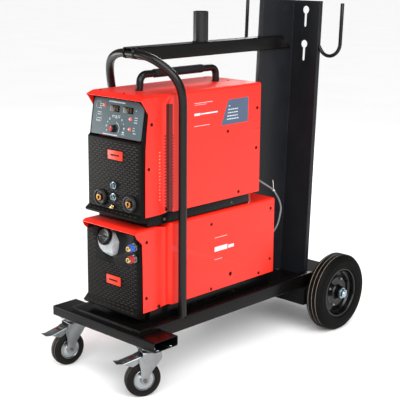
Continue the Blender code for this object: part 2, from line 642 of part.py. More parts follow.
def rear_panel(name, bottom, top, gland, fan_centre):
    """Rear plate with the gland of the link cable outside and the fan's motor inside."""
    inside, y_outer, sheet = CASE_HALF_WIDTH - CASE_SHEET - GAP, gland.y, 0.0025
    panel = part(name, box_mesh((-inside, y_outer - sheet, bottom), (inside, y_outer, top)), "black_paint")
    boss_end = gland + Vector((0.0, CABLE_GLAND_LENGTH, 0.0))
    motor_front = fan_centre + Vector((0.0, FAN_DEPTH / 2.0 + GAP, 0.0))
    motor_rear = Vector((fan_centre.x, y_outer - sheet / 2.0, fan_centre.z))
    return fuse(panel, cylinder_mesh(CABLE_GLAND_RADIUS, gland - Vector((0.0, 0.001, 0.0)), boss_end, 20),
                cylinder_mesh(0.0170, motor_front, motor_rear, 24))


def outward_axis(x, y, z):
    """Place for a turned shape whose axis comes straight out of a front panel, along -Y."""
    return Matrix.Translation((x, y, z)) @ Matrix.Rotation(math.radians(90.0), 4, "X")


# ---------------------------------------------------------------- power source

def control_panel(panel):
    outline = [(-0.1085, 0.0010), (0.1075, 0.0010), (0.1075, 0.0930), (0.0830, 0.1085), (-0.1085, 0.1085)]
    at = Matrix.Translation((0.0, -GAP - PANEL_THICK / 2.0, 0.0)) @ FRONT_VIEW
    return place(part("control_panel", prism_mesh([outline], PANEL_THICK, at), "grey_panel"), panel)


def panel_front():
    return -(GAP + PANEL_THICK + GAP)


def display_window(panel):
    front = panel_front()
    mesh = box_mesh((-0.0400, front - 0.0010, 0.0690), (0.0690, front, 0.0950))
    return place(part("display_window", mesh, "dark_glass"), panel)


def control_knob(panel):
    profile = [(0.0, KNOB_HEIGHT), (KNOB_RADIUS * 0.72, KNOB_HEIGHT), (KNOB_RADIUS * 0.80, KNOB_HEIGHT - 0.0015),
               (KNOB_RADIUS * 0.85, 0.0050), (KNOB_RADIUS, 0.0035), (KNOB_RADIUS, 0.0), (0.0, 0.0)]
    knob = part("control_knob", turned_mesh(profile, outward_axis(0.0, 0.0, 0.0), 24), "black_plastic")
    return place(knob, panel, (KNOB_X, panel_front(), KNOB_S))


def push_button(name, x, s, panel):
    height = 0.0030
    profile = [(0.0, height), (BUTTON_RADIUS - 0.0006, height), (BUTTON_RADIUS, height - 0.0006),
               (BUTTON_RADIUS, 0.0), (0.0, 0.0)]
    button = part(name, turned_mesh(profile, outward_axis(0.0, 0.0, 0.0), 16), "red_plastic")
    return place(button, panel, (x, panel_front() - BUTTON_TRAVEL, s))


def power_socket(name, x, z):
    """Bayonet socket: a deep collar round a brass contact with a bore."""
    profile = [(0.0, 0.0030), (0.0065, 0.0030), (0.0065, 0.0120), (0.0122, 0.0120), (0.0122, 0.0030),
               (0.0180, 0.0030), (0.0200, 0.0080), (0.0245, 0.0080), (0.0245, 0.0), (0.0, 0.0)]
    return part(name, turned_mesh(profile, outward_axis(x, SOURCE_FACE, z), 32), "brass")


def round_socket(name, x, z):
    profile = [(0.0, 0.0030), (0.0055, 0.0030), (0.0055, 0.0100), (0.0080, 0.0100), (0.0080, 0.0030),
               (0.0105, 0.0030), (0.0105, 0.0), (0.0, 0.0)]
    return part(name, turned_mesh(profile, outward_axis(x, SOURCE_FACE, z), 20), "zinc")


def gas_outlet():
    profile = [(0.0, 0.0150), (0.0035, 0.0150), (0.0045, 0.0110), (0.0035, 0.0090), (0.0035, 0.0060),
               (0.0060, 0.0060), (0.0060, 0.0), (0.0, 0.0)]
    return part("gas_outlet", turned_mesh(profile, outward_axis(-0.0042, SOURCE_FACE, GAS_OUTLET_Z), 16), "brass")


def carry_handle():
    foot_z, bend = SOURCE_TOP + GAP, 0.0260
    foot_front, leg_front, leg_rear, foot_rear = -0.3380, -0.3345, -0.0110, -0.0095
    front_bend = arc((leg_front + bend, GRIP_Z - bend), bend, 180.0, 90.0, 5)
    rear_bend = arc((leg_rear - bend, GRIP_Z - bend), bend, 90.0, 0.0, 5)
    under_grip = [(GRIP_FRONT + 0.010, GRIP_Z), (GRIP_REAR - 0.010, GRIP_Z)]
    route = [(foot_front, foot_z - 0.005)] + front_bend + under_grip + rear_bend + [(foot_rear, foot_z - 0.005)]
    handle = part("carry_handle", tube_mesh([(0.0, y, z) for y, z in route], HANDLE_ROD), "black_paint")
    return cut(handle, box_mesh((-0.05, -0.40, SOURCE_TOP - 0.02), (0.05, 0.05, foot_z)))


def handle_grip():
    length = GRIP_REAR - GRIP_FRONT
    bore = HANDLE_ROD + GAP
    profile = [(bore, length), (GRIP_RADIUS - 0.0015, length), (GRIP_RADIUS, length - 0.003), (GRIP_RADIUS, 0.003),
               (GRIP_RADIUS - 0.0015, 0.0), (bore, 0.0)]
    at = outward_axis(0.0, GRIP_REAR, GRIP_Z)
    return part("handle_grip", turned_mesh(profile, at, 24, closed=True), "grip_rubber")


def inward_axis(centre):
    """Place for a turned shape whose axis comes out of a rear panel, along +Y."""
    return Matrix.Translation(centre) @ Matrix.Rotation(math.radians(-90.0), 4, "X")


def main_switch():
    profile = [(0.0, 0.0060), (0.0160, 0.0060), (0.0160, 0.0), (0.0, 0.0)]
    switch = part("main_switch", turned_mesh(profile, inward_axis((0.0, 0.0, 0.0)), 24), "black_plastic")
    fuse(switch, box_mesh((-0.0040, 0.0050, -0.0140), (0.0040, 0.0180, 0.0140)))
    return place(switch, None, MAIN_SWITCH)


def fan(name, centre):
    """Axial fan: a hub with seven swept blades, one flat outline thickened along the axis."""
    blades, hub, outline = 7, 0.0180, []
    for i in range(blades):
        base = 360.0 / blades * i
        outline += [polar(hub, base), polar(FAN_RADIUS, base + 14.0), polar(FAN_RADIUS, base + 38.0),
                    polar(hub, base + 30.0)]
    rotor = part(name, prism_mesh([outline], FAN_DEPTH, FRONT_VIEW), "black_plastic")
    return place(rotor, None, centre)


def polar(radius, degrees):
    angle = math.radians(degrees)
    return (radius * math.cos(angle), radius * math.sin(angle))


def finned_block(name, low, high, fins, spine, finish):
    """Fins standing on a spine plate, as one comb outline seen from the front."""
    pitch = (high[0] - low[0]) / fins
    top, base = high[2], low[2] + spine
    outline = [(low[0], low[2]), (high[0] - pitch / 2.0, low[2])]
    for i in reversed(range(fins)):
        x = low[0] + pitch * i
        outline += [(x + pitch / 2.0, base), (x + pitch / 2.0, top), (x, top), (x, base)]
    outline = outline[:1] + [(high[0] - pitch / 2.0, low[2])] + outline[3:-1]
    middle = Matrix.Translation((0.0, (low[1] + high[1]) / 2.0, 0.0))
    return part(name, prism_mesh([outline], high[1] - low[1], middle @ FRONT_VIEW), finish)


def output_transformer():
    """Toroidal transformer lying flat in the base pan."""
    section = arc((0.0360, 0.0), 0.0170, 90.0, -270.0, 10)[:-1]
    at = Matrix.Translation((0.0500, -0.2500, 0.4990))
    return part("output_transformer", turned_mesh(section, at, 24, closed=True), "copper_winding")


# ---------------------------------------------------------------- water cooler

def coolant_tank():
    """Translucent tank in the front of the case, with a neck that comes out through the front panel."""
    low, high, wall = Vector((-0.0950, -0.3950, FLOOR_TOP + 0.0028)), Vector((0.0600, -0.2400, 0.4450)), 0.003
    tank = part("coolant_tank", box_mesh(low, high), "white_plastic")
    sheet = Vector((wall, wall, wall))
    neck_axis = Vector((0.0, -math.sin(CAP_TILT), math.cos(CAP_TILT)))
    face = Vector((0.0, math.cos(CAP_TILT), math.sin(CAP_TILT))) * (CAP_RADIUS - 0.001)
    seat_low, seat_high = CAP_SEAT - face, CAP_SEAT + face
    neck = [(-0.3930, 0.3700), (-0.4500, 0.3780), (seat_low.y, 0.3930), (seat_low.y, seat_low.z),
            (seat_high.y, seat_high.z), (-0.4300, 0.4560), (-0.3930, 0.4440)]
    fuse(tank, side_prism(neck[::-1], -0.0550, 0.0480))
    return cut(tank, box_mesh(low + sheet, high - sheet),
               cylinder_mesh(NECK_BORE, CAP_SEAT + neck_axis * 0.01, CAP_SEAT - neck_axis * 0.085))


def cap_frame():
    return frame("filler_axis", CAP_SEAT, (CAP_TILT, 0.0, 0.0))


def cap_seal(axis):
    inner, outer, top = NECK_BORE + 0.0005, 0.0150, GAP + SEAL_HEIGHT
    profile = [(outer, top), (outer, GAP), (inner, GAP), (inner, top)]
    seal = part("cap_seal", turned_mesh(profile, Matrix.Identity(4), 24, closed=True), "grip_rubber")
    return place(seal, axis)


def filler_cap(axis):
    base = 2.0 * GAP + SEAL_HEIGHT
    profile = [(0.0, base + CAP_HEIGHT), (CAP_RADIUS - 0.002, base + CAP_HEIGHT), (CAP_RADIUS, base + CAP_HEIGHT - 0.002),
               (CAP_RADIUS, base), (0.0, base)]
    return place(part("filler_cap", turned_mesh(profile, Matrix.Identity(4), 24), "black_plastic"), axis)


def coolant_coupler(colour, z):
    """Self-sealing quick coupling: a flanged brass stem with a coloured release sleeve."""
    at = outward_axis(COUPLER_X, COOLER_FACE - GAP, z)
    stem = [(0.0, COUPLER_LENGTH), (0.0060, COUPLER_LENGTH), (0.0072, COUPLER_LENGTH - 0.002), (0.0072, 0.0040),
            (0.0125, 0.0040), (0.0125, 0.0), (0.0, 0.0)]
    part("coupler_" + colour, turned_mesh(stem, at, 20), "brass")
    sleeve = [(0.0120, 0.0230), (0.0120, 0.0090), (0.0075, 0.0090), (0.0075, 0.0230)]
    part("coupler_sleeve_" + colour, turned_mesh(sleeve, at, 20, closed=True), colour + "_plastic")


def coolant_pump():
    profile = [(0.0, 0.0700), (0.0300, 0.0700), (0.0300, 0.0200), (0.0380, 0.0200), (0.0380, 0.0), (0.0, 0.0)]
    at = Matrix.Translation((0.0300, -0.0900, FLOOR_TOP + 0.0028))
    return part("coolant_pump", turned_mesh(profile, at, 24), "zinc")


def link_cable():
    return part("link_cable", tube_mesh(smooth_route(CABLE_ROUTE, 3), CABLE_RADIUS, 2), "cable_grey")


# ---------------------------------------------------------------- assembly

def build_trolley():
    front_cross_beam()
    side_rail("side_rail_right", 1)
    side_rail("side_rail_left", -1)
    floor_plate()
    bottle_platform()
    leaning = frame("column_frame", COLUMN_PIVOT, (-COLUMN_LEAN, 0.0, 0.0))
    column(leaning)
    boom_arm()
    push_handle()
    boom_socket()
    torch_hook("torch_hook_right", 1, leaning)
    torch_hook("torch_hook_left", -1, leaning)
    rear_axle()
    for side_name, side in (("right", 1), ("left", -1)):
        rear_tyre("rear_tyre_" + side_name, side)
        rear_rim("rear_rim_" + side_name, side)
    casters()


def build_source():
    source_cover()
    base_pan("source_chassis", -0.4095, 0.0370, COOLER_TOP + GAP, SOURCE_BOTTOM - GAP)
    source_front_bezel()
    panel = frame("panel_frame", PANEL_FOOT, (-PANEL_TILT, 0.0, 0.0))
    control_panel(panel)
    display_window(panel)
    control_knob(panel)
    for name, (x, s) in BUTTONS.items():
        push_button(name, x, s, panel)
    for name, (x, z) in DINSE_SOCKETS.items():
        power_socket(name, x, z)
    for name, (x, z) in ROUND_SOCKETS.items():
        round_socket(name, x, z)
    gas_outlet()
    rear_panel("source_rear_panel", SOURCE_BOTTOM + 0.002, SOURCE_TOP - 0.002, SOURCE_GLAND, SOURCE_FAN_CENTRE)
    carry_handle()
    handle_grip()
    main_switch()
    fan("source_fan", SOURCE_FAN_CENTRE)
    finned_block("power_heatsink", (-0.0950, -0.3800, 0.4817), (-0.0100, 0.0000, 0.5900), 8, 0.012, "aluminium")
    output_transformer()


def build_cooler():
    cooler_cover()
    base_pan("cooler_chassis", -0.4005, 0.1450, FLOOR_TOP + GAP, COOLER_BOTTOM - GAP)
    cooler_front_bezel()
    rear_panel("cooler_rear_panel", COOLER_BOTTOM + 0.002, COOLER_TOP - 0.002, COOLER_GLAND, COOLER_FAN_CENTRE)
    coolant_tank()
    axis = cap_frame()
    cap_seal(axis)
    filler_cap(axis)
    for colour, z in COUPLERS.items():
        coolant_coupler(colour, z)
    finned_block("coolant_radiator", (-0.0900, 0.0850, 0.1768), (0.0900, 0.1250, 0.4500), 14, 0.012, "aluminium")
    fan("cooler_fan", COOLER_FAN_CENTRE)
    coolant_pump()


def centre_on_origin():
    """Everything that stands on its own moves, so that the origin is under the middle."""
    for obj in bpy.data.objects:
        if obj.parent is None:
            obj.location.y -= MIDDLE_Y


build_trolley()
build_source()
build_cooler()
link_cable()
centre_on_origin()
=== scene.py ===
import math
import random

import bmesh
import bpy
from mathutils import Matrix, Vector


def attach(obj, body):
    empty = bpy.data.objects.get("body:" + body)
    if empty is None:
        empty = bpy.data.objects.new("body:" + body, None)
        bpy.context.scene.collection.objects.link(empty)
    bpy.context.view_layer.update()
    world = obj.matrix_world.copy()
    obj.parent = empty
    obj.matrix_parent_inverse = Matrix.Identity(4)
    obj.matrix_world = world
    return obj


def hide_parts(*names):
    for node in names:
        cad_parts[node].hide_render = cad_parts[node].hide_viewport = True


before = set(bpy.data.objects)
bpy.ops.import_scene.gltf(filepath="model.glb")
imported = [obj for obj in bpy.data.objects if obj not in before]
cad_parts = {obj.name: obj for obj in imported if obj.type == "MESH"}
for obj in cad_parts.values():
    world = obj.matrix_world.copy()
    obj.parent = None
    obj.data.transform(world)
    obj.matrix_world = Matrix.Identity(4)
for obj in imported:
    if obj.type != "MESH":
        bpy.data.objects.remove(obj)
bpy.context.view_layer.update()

# Every piece is drawn with the CAD's own drawing zero, and moved by this much when it is finished.
SHIFT = 0.0047
ROOT = "machine"

# ---------------------------------------------------------------- camera

RIGHT = Vector((0.7166, 0.6975, 0.0052))
UP = Vector((-0.1604, 0.1576, 0.9744))
FORWARD = Vector((-0.67883, 0.69905, -0.22476))


def make_camera():
    data = bpy.data.cameras.new("camera")
    data.lens = 92.31
    data.sensor_width = 36.0
    data.shift_x = 0.0209
    data.shift_y = -0.0225
    data.clip_end = 60.0
    camera = bpy.data.objects.new("camera", data)
    bpy.context.scene.collection.objects.link(camera)
    right = RIGHT.normalized()
    back = -FORWARD.normalized()
    up = back.cross(right).normalized()
    right = up.cross(back).normalized()
    rotation = Matrix((right, up, back)).transposed().to_4x4()
    camera.matrix_world = Matrix.Translation((2.1997, -2.3763, 1.2528)) @ rotation
    bpy.context.scene.camera = camera


make_camera()
bpy.context.scene.view_settings.view_transform = "Standard"

# ---------------------------------------------------------------- mesh helpers

PIVOT = Vector((0.0, 0.3235, 0.1520))
LEAN = math.radians(2.4)
COLUMN = Matrix.Translation(PIVOT) @ Matrix.Rotation(-LEAN, 4, "X")
PANEL_FOOT = Vector((0.0, -0.4325, 0.7357))
PANEL = Matrix.Translation(PANEL_FOOT) @ Matrix.Rotation(math.radians(-9.2), 4, "X")
CAP_SEAT = Vector((-0.0180, -0.4560, 0.4360))
CAP = Matrix.Translation(CAP_SEAT) @ Matrix.Rotation(math.radians(65.0), 4, "X")
HEADINGS = {
    "right": Matrix.Translation((0.1730, -0.4630, 0.0)) @ Matrix.Rotation(math.radians(-23.0), 4, "Z"),
    "left": Matrix.Translation((-0.1730, -0.4630, 0.0)) @ Matrix.Rotation(math.radians(-8.0), 4, "Z"),
}
SIDE_VIEW = Matrix(((0, 0, 1, 0), (1, 0, 0, 0), (0, 1, 0, 0), (0, 0, 0, 1)))
FRONT_VIEW = Matrix(((1, 0, 0, 0), (0, 0, -1, 0), (0, 1, 0, 0), (0, 0, 0, 1)))
IDENTITY = Matrix.Identity(4)


def link(obj):
    bpy.context.scene.collection.objects.link(obj)
    return obj


def from_bmesh(bm, name="solid"):
    bmesh.ops.recalc_face_normals(bm, faces=bm.faces)
    mesh = bpy.data.meshes.new(name)
    bm.to_mesh(mesh)
    bm.free()
    return link(bpy.data.objects.new(name, mesh))


def settle(obj):
    """Apply every modifier of a mesh, or turn a curve into a mesh."""
    graph = bpy.context.evaluated_depsgraph_get()
    graph.update()
    mesh = bpy.data.meshes.new_from_object(obj.evaluated_get(graph))
    if obj.type == "MESH":
        obj.modifiers.clear()
        obj.data = mesh
        return obj
    made = link(bpy.data.objects.new(obj.name, mesh))
    bpy.data.objects.remove(obj)
    bm = bmesh.new()
    bm.from_mesh(mesh)
    bmesh.ops.remove_doubles(bm, verts=bm.verts, dist=0.00001)
    bmesh.ops.recalc_face_normals(bm, faces=bm.faces)
    bm.to_mesh(mesh)
    bm.free()
    return made


def bevel(obj, width, segments=2, angle=30.0):
    modifier = obj.modifiers.new("Bevel", "BEVEL")
    modifier.width = width
    modifier.segments = segments
    modifier.limit_method = "ANGLE"
    modifier.angle_limit = math.radians(angle)
    return settle(obj)


def box(low, high, edge=0.0, segments=2, matrix=IDENTITY):
    low, high = Vector(low), Vector(high)
    bm = bmesh.new()
    bmesh.ops.create_cube(bm, size=1.0)
    bmesh.ops.scale(bm, vec=high - low, verts=bm.verts)
    bmesh.ops.translate(bm, vec=(low + high) / 2.0, verts=bm.verts)
    if edge:
        bmesh.ops.bevel(bm, geom=bm.edges[:], offset=edge, segments=segments, profile=0.5, affect="EDGES")
    bmesh.ops.transform(bm, matrix=matrix, verts=bm.verts)
    return from_bmesh(bm)


def round_corners(outline, radius, steps=4):
    """Replace each corner of a closed outline by an arc; radius is one number, or one for each corner."""
    count = len(outline)
    radii = radius if isinstance(radius, (list, tuple)) else [radius] * count
    out = []
    for i, point in enumerate(outline):
        p = Vector(point).to_2d()
        a = (Vector(outline[i - 1]).to_2d() - p)
        b = (Vector(outline[(i + 1) % count]).to_2d() - p)
        r = radii[i]
        if r <= 0.0:
            out.append((p.x, p.y))
            continue
        angle = a.angle(b)
        if angle > math.radians(176.0):
            out.append((p.x, p.y))
            continue
        reach = min(r / math.tan(angle / 2.0), 0.49 * a.length, 0.49 * b.length)
        r = reach * math.tan(angle / 2.0)
        start = p + a.normalized() * reach
        end = p + b.normalized() * reach
        centre = p + (a.normalized() + b.normalized()).normalized() * (r / math.sin(angle / 2.0))
        first = start - centre
        turn = first.angle_signed(end - centre)
        for k in range(steps + 1):
            spin = Matrix.Rotation(-turn * k / steps, 2)
            q = centre + spin @ first
            out.append((q.x, q.y))
    return out


def prism(outlines, thickness, matrix, edge=0.0, segments=2):
    """Flat outlines, the first the border and the rest holes, thickened both ways about their plane."""
    curve = bpy.data.curves.new("outline", "CURVE")
    curve.dimensions = "2D"
    curve.fill_mode = "BOTH"
    curve.extrude = thickness / 2.0
    for outline in outlines:
        spline = curve.splines.new("POLY")
        spline.points.add(len(outline) - 1)
        for point, (u, v) in zip(spline.points, outline):
            point.co = (u, v, 0.0, 1.0)
        spline.use_cyclic_u = True
    obj = settle(link(bpy.data.objects.new("outline", curve)))
    obj.data.transform(matrix)
    if matrix.to_3x3().determinant() < 0.0:
        obj.data.flip_normals()
    if edge:
        bevel(obj, edge, segments)
    return obj


def side_prism(outlines, x_low, x_high, edge=0.0, segments=2):
    if not isinstance(outlines[0][0], (list, tuple)):
        outlines = [outlines]
    middle = Matrix.Translation(((x_low + x_high) / 2.0, 0.0, 0.0))
    return prism(outlines, x_high - x_low, middle @ SIDE_VIEW, edge, segments)


def front_prism(outlines, y_low, y_high, edge=0.0, segments=2):
    if not isinstance(outlines[0][0], (list, tuple)):
        outlines = [outlines]
    middle = Matrix.Translation((0.0, (y_low + y_high) / 2.0, 0.0))
    return prism(outlines, y_high - y_low, middle @ FRONT_VIEW, edge, segments)


def plan_prism(outlines, z_low, z_high, edge=0.0, segments=2, matrix=IDENTITY):
    if not isinstance(outlines[0][0], (list, tuple)):
        outlines = [outlines]
    middle = Matrix.Translation((0.0, 0.0, (z_low + z_high) / 2.0))
    return prism(outlines, z_high - z_low, matrix @ middle, edge, segments)


def lathe(profile, matrix, steps=48, closed=False):
    """Spin a profile of (radius, height) about the local Z axis."""
    bm = bmesh.new()
    rings = []
    for radius, height in profile:
        if radius < 1e-6:
            rings.append([bm.verts.new((0.0, 0.0, height))])
            continue
        ring = []
        for k in range(steps):
            a = 2.0 * math.pi * k / steps
            ring.append(bm.verts.new((radius * math.cos(a), radius * math.sin(a), height)))
        rings.append(ring)
    pairs = list(zip(rings, rings[1:]))
    if closed:
        pairs.append((rings[-1], rings[0]))
    for low, high in pairs:
        for k in range(steps):
            n = (k + 1) % steps
            if len(low) == 1 and len(high) == 1:
                continue
            if len(low) == 1:
                bm.faces.new((low[0], high[k], high[n]))
            elif len(high) == 1:
                bm.faces.new((low[k], low[n], high[0]))
            else:
                bm.faces.new((low[k], low[n], high[n], high[k]))
    bmesh.ops.transform(bm, matrix=matrix, verts=bm.verts)
    return from_bmesh(bm)


def cylinder(radius, start, end, steps=32, edge=0.0):
    start, end = Vector(start), Vector(end)
    length = (end - start).length
    turn = Vector((0.0, 0.0, 1.0)).rotation_difference(end - start).to_matrix().to_4x4()
    if edge:
        profile = [(0.0, 0.0), (radius - edge, 0.0), (radius, edge), (radius, length - edge),
                   (radius - edge, length), (0.0, length)]
    else:
        profile = [(0.0, 0.0), (radius, 0.0), (radius, length), (0.0, length)]
    return lathe(profile, Matrix.Translation(start) @ turn, steps)


def smooth_route(points, per_span):
    route = [Vector(point) for point in points]
    route = [2.0 * route[0] - route[1]] + route + [2.0 * route[-1] - route[-2]]
    out = []
    for a, b, c, d in zip(route, route[1:], route[2:], route[3:]):
        for i in range(per_span):
            t = i / per_span
            out.append(0.5 * (2.0 * b + (c - a) * t + (2.0 * a - 5.0 * b + 4.0 * c - d) * t ** 2
                              + (3.0 * b - a - 3.0 * c + d) * t ** 3))
    out.append(route[-2])
    return out


def filleted(points, radius, steps=8):
    """A chain of points in space with its corners rounded."""
    points = [Vector(p) for p in points]
    out = [points[0]]
    for a, p, b in zip(points, points[1:], points[2:]):
        to_a, to_b = (a - p), (b - p)
        angle = to_a.angle(to_b)
        if angle > math.radians(177.0):
            out.append(p)
            continue
        reach = min(radius / math.tan(angle / 2.0), 0.48 * to_a.length, 0.48 * to_b.length)
        r = reach * math.tan(angle / 2.0)
        start, end = p + to_a.normalized() * reach, p + to_b.normalized() * reach
        centre = p + (to_a.normalized() + to_b.normalized()).normalized() * (r / math.sin(angle / 2.0))
        u = (start - centre).normalized()
        w = (end - centre).normalized()
        total = u.angle(w)
        side = (w - u * u.dot(w)).normalized()
        for k in range(steps + 1):
            t = total * k / steps
            out.append(centre + (u * math.cos(t) + side * math.sin(t)) * r)
    out.append(points[-1])
    return out


def tube(points, radius, sides=20, caps=True, rounded=0.0):
    """Sweep a circle along a chain of points; radius is one number, or one for each point."""
    points = [Vector(p) for p in points]
    radii = radius if isinstance(radius, (list, tuple)) else [radius] * len(points)
    if rounded:
        head, tail = points[0], points[-1]
        h = (points[1] - head).normalized()
        t = (points[-2] - tail).normalized()
        points = [head, head + h * rounded * 0.3, head + h * rounded] + points[1:-1] + [
            tail + t * rounded, tail + t * rounded * 0.3, tail]
        radii = [radii[0] - rounded, radii[0] - rounded * 0.25] + [radii[0]] + list(radii[1:-1]) + [
            radii[-1], radii[-1] - rounded * 0.25, radii[-1] - rounded]
    bm = bmesh.new()
    tangents = []
    for i in range(len(points)):
        a = points[max(0, i - 1)]
        b = points[min(len(points) - 1, i + 1)]
        tangents.append((b - a).normalized())
    helper = Vector((0.0, 0.0, 1.0)) if abs(tangents[0].z) < 0.9 else Vector((1.0, 0.0, 0.0))
    normal = tangents[0].cross(helper).normalized()
    rings = []
    for i, p in enumerate(points):
        if i:
            turn = tangents[i - 1].rotation_difference(tangents[i])
            normal = turn @ normal
            normal = (normal - tangents[i] * normal.dot(tangents[i])).normalized()
        other = tangents[i].cross(normal)
        ring = []
        for k in range(sides):
            a = 2.0 * math.pi * k / sides
            ring.append(bm.verts.new(p + (normal * math.cos(a) + other * math.sin(a)) * radii[i]))
        rings.append(ring)
    for low, high in zip(rings, rings[1:]):
        for k in range(sides):
            n = (k + 1) % sides
            bm.faces.new((low[k], low[n], high[n], high[k]))
    if caps:
        bm.faces.new(rings[0][::-1])
        bm.faces.new(rings[-1])
    return from_bmesh(bm)


def boolean(obj, operation, others, keep=False):
    for other in others:
        modifier = obj.modifiers.new("Boolean", "BOOLEAN")
        modifier.operation = operation
        modifier.solver = "EXACT"
        modifier.object = other
    settle(obj)
    if not keep:
        for other in others:
            bpy.data.objects.remove(other)
    return obj


def cut(obj, *others):
    return boolean(obj, "DIFFERENCE", others)


def fuse(obj, *others):
    return boolean(obj, "UNION", others)


def join(objs):
    """Several closed meshes as one object, without merging their surfaces."""
    bm = bmesh.new()
    for obj in objs:
        bm.from_mesh(obj.data)
        bpy.data.objects.remove(obj)
    mesh = bpy.data.meshes.new("joined")
    bm.to_mesh(mesh)
    bm.free()
    return link(bpy.data.objects.new("joined", mesh))


def moved(obj, matrix):
    obj.data.transform(matrix)
    if matrix.to_3x3().determinant() < 0.0:
        obj.data.flip_normals()
    return obj


def piece(obj, name, body, finish, replaces=(), angle=32.0):
    """Name a finished mesh, give it its material, and hang it on its CAD body."""
    obj.name = name
    obj.data.name = name
    obj.data.transform(Matrix.Translation((0.0, SHIFT, 0.0)))
    obj.data.materials.clear()
    obj.data.materials.append(finish)
    obj.data.shade_smooth()
    obj.data.set_sharp_from_angle(angle=math.radians(angle))
    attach(obj, body)
    if replaces:
        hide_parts(*replaces)
    return obj


def mirrored(obj):
    """A copy mirrored across the middle plane."""
    twin = link(bpy.data.objects.new(obj.name, obj.data.copy()))
    return moved(twin, Matrix.Scale(-1.0, 4, Vector((1.0, 0.0, 0.0))))


def circle(centre, radius, steps=32, start=0.0):
    return [(centre[0] + radius * math.cos(start + 2 * math.pi * k / steps),
             centre[1] + radius * math.sin(start + 2 * math.pi * k / steps)) for k in range(steps)]


def outward(x, y, z):
    """Local Z comes straight out of a front panel, towards -Y."""
    return Matrix.Translation((x, y, z)) @ Matrix.Rotation(math.radians(90.0), 4, "X")


def rearward(x, y, z):
    """Local Z comes straight out of a rear panel, towards +Y."""
    return Matrix.Translation((x, y, z)) @ Matrix.Rotation(math.radians(-90.0), 4, "X")


def sideward(x, y, z, side=1):
    """Local Z comes straight out of a side, towards +X or -X."""
    return Matrix.Translation((x, y, z)) @ Matrix.Rotation(math.radians(90.0 * side), 4, "Y")


def upward(x, y, z):
    return Matrix.Translation((x, y, z))


# ---------------------------------------------------------------- materials

def srgb(r, g, b):
    def channel(v):
        v /= 255.0
        return v / 12.92 if v <= 0.04045 else ((v + 0.055) / 1.055) ** 2.4
    return (channel(r), channel(g), channel(b), 1.0)


class Look:
    """A Principled material with chains of procedural nodes on object coordinates."""

    def __init__(self, name, roughness=0.5, metallic=0.0, specular=0.5, coat=0.0, coat_roughness=0.1):
        self.material = bpy.data.materials.new(name)
        self.material.use_nodes = True
        self.tree = self.material.node_tree
        self.shader = self.tree.nodes["Principled BSDF"]
        self.shader.inputs["Roughness"].default_value = roughness
        self.shader.inputs["Metallic"].default_value = metallic
        self.shader.inputs["Specular IOR Level"].default_value = specular
        self.shader.inputs["Coat Weight"].default_value = coat
        self.shader.inputs["Coat Roughness"].default_value = coat_roughness
        self.coords = self.tree.nodes.new("ShaderNodeTexCoord").outputs["Object"]
        self.bump_from = None

    def node(self, kind, **settings):
        made = self.tree.nodes.new(kind)
        for key, value in settings.items():
            setattr(made, key, value)
        return made

    def wire(self, a, b):
        self.tree.links.new(a, b)

    def noise(self, scale, detail=3.0, roughness=0.5, stretch=(1.0, 1.0, 1.0)):
        mapping = self.node("ShaderNodeMapping")
        mapping.inputs["Scale"].default_value = stretch
        self.wire(self.coords, mapping.inputs["Vector"])
        noise = self.node("ShaderNodeTexNoise")
        noise.inputs["Scale"].default_value = scale
        noise.inputs["Detail"].default_value = detail
        noise.inputs["Roughness"].default_value = roughness
        self.wire(mapping.outputs["Vector"], noise.inputs["Vector"])
        return noise.outputs["Fac"]

    def ramp(self, factor, stops):
        ramp = self.node("ShaderNodeValToRGB")
        elements = ramp.color_ramp.elements
        while len(elements) < len(stops):
            elements.new(0.5)
        for element, (position, colour) in zip(elements, stops):
            element.position = position
            element.color = colour
        self.wire(factor, ramp.inputs["Fac"])
        return ramp.outputs["Color"]

    def mix(self, factor, a, b, blend="MIX"):
        mix = self.node("ShaderNodeMix", data_type="RGBA", blend_type=blend)
        for socket, value in (("Factor", factor), ("A", a), ("B", b)):
            target = [s for s in mix.inputs if s.name == socket and s.enabled][0]
            if hasattr(value, "links"):
                self.wire(value, target)
            else:
                target.default_value = value
        return [s for s in mix.outputs if s.enabled][0]

    def math(self, operation, a, b=None, c=None):
        node = self.node("ShaderNodeMath", operation=operation)
        for socket, value in zip(node.inputs, (a, b, c)):
            if value is None:
                continue
            if hasattr(value, "links"):
                self.wire(value, socket)
            else:
                socket.default_value = value
        return node.outputs[0]

    def remap(self, value, low, high, to_low, to_high):
        node = self.node("ShaderNodeMapRange")
        for socket, number in zip(("From Min", "From Max", "To Min", "To Max"), (low, high, to_low, to_high)):
            node.inputs[socket].default_value = number
        self.wire(value, node.inputs["Value"])
        return node.outputs["Result"]

    def colour(self, value):
        if hasattr(value, "links"):
            self.wire(value, self.shader.inputs["Base Color"])
        else:
            self.shader.inputs["Base Color"].default_value = value
        return self

    def rough(self, value):
        self.wire(value, self.shader.inputs["Roughness"])
        return self

    def bump(self, height, distance, strength=1.0):
        node = self.node("ShaderNodeBump")
        node.inputs["Distance"].default_value = distance
        node.inputs["Strength"].default_value = strength
        self.wire(height, node.inputs["Height"])
        if self.bump_from is not None:
            self.wire(self.bump_from, node.inputs["Normal"])
        self.bump_from = node.outputs["Normal"]
        self.wire(self.bump_from, self.shader.inputs["Normal"])
        return self


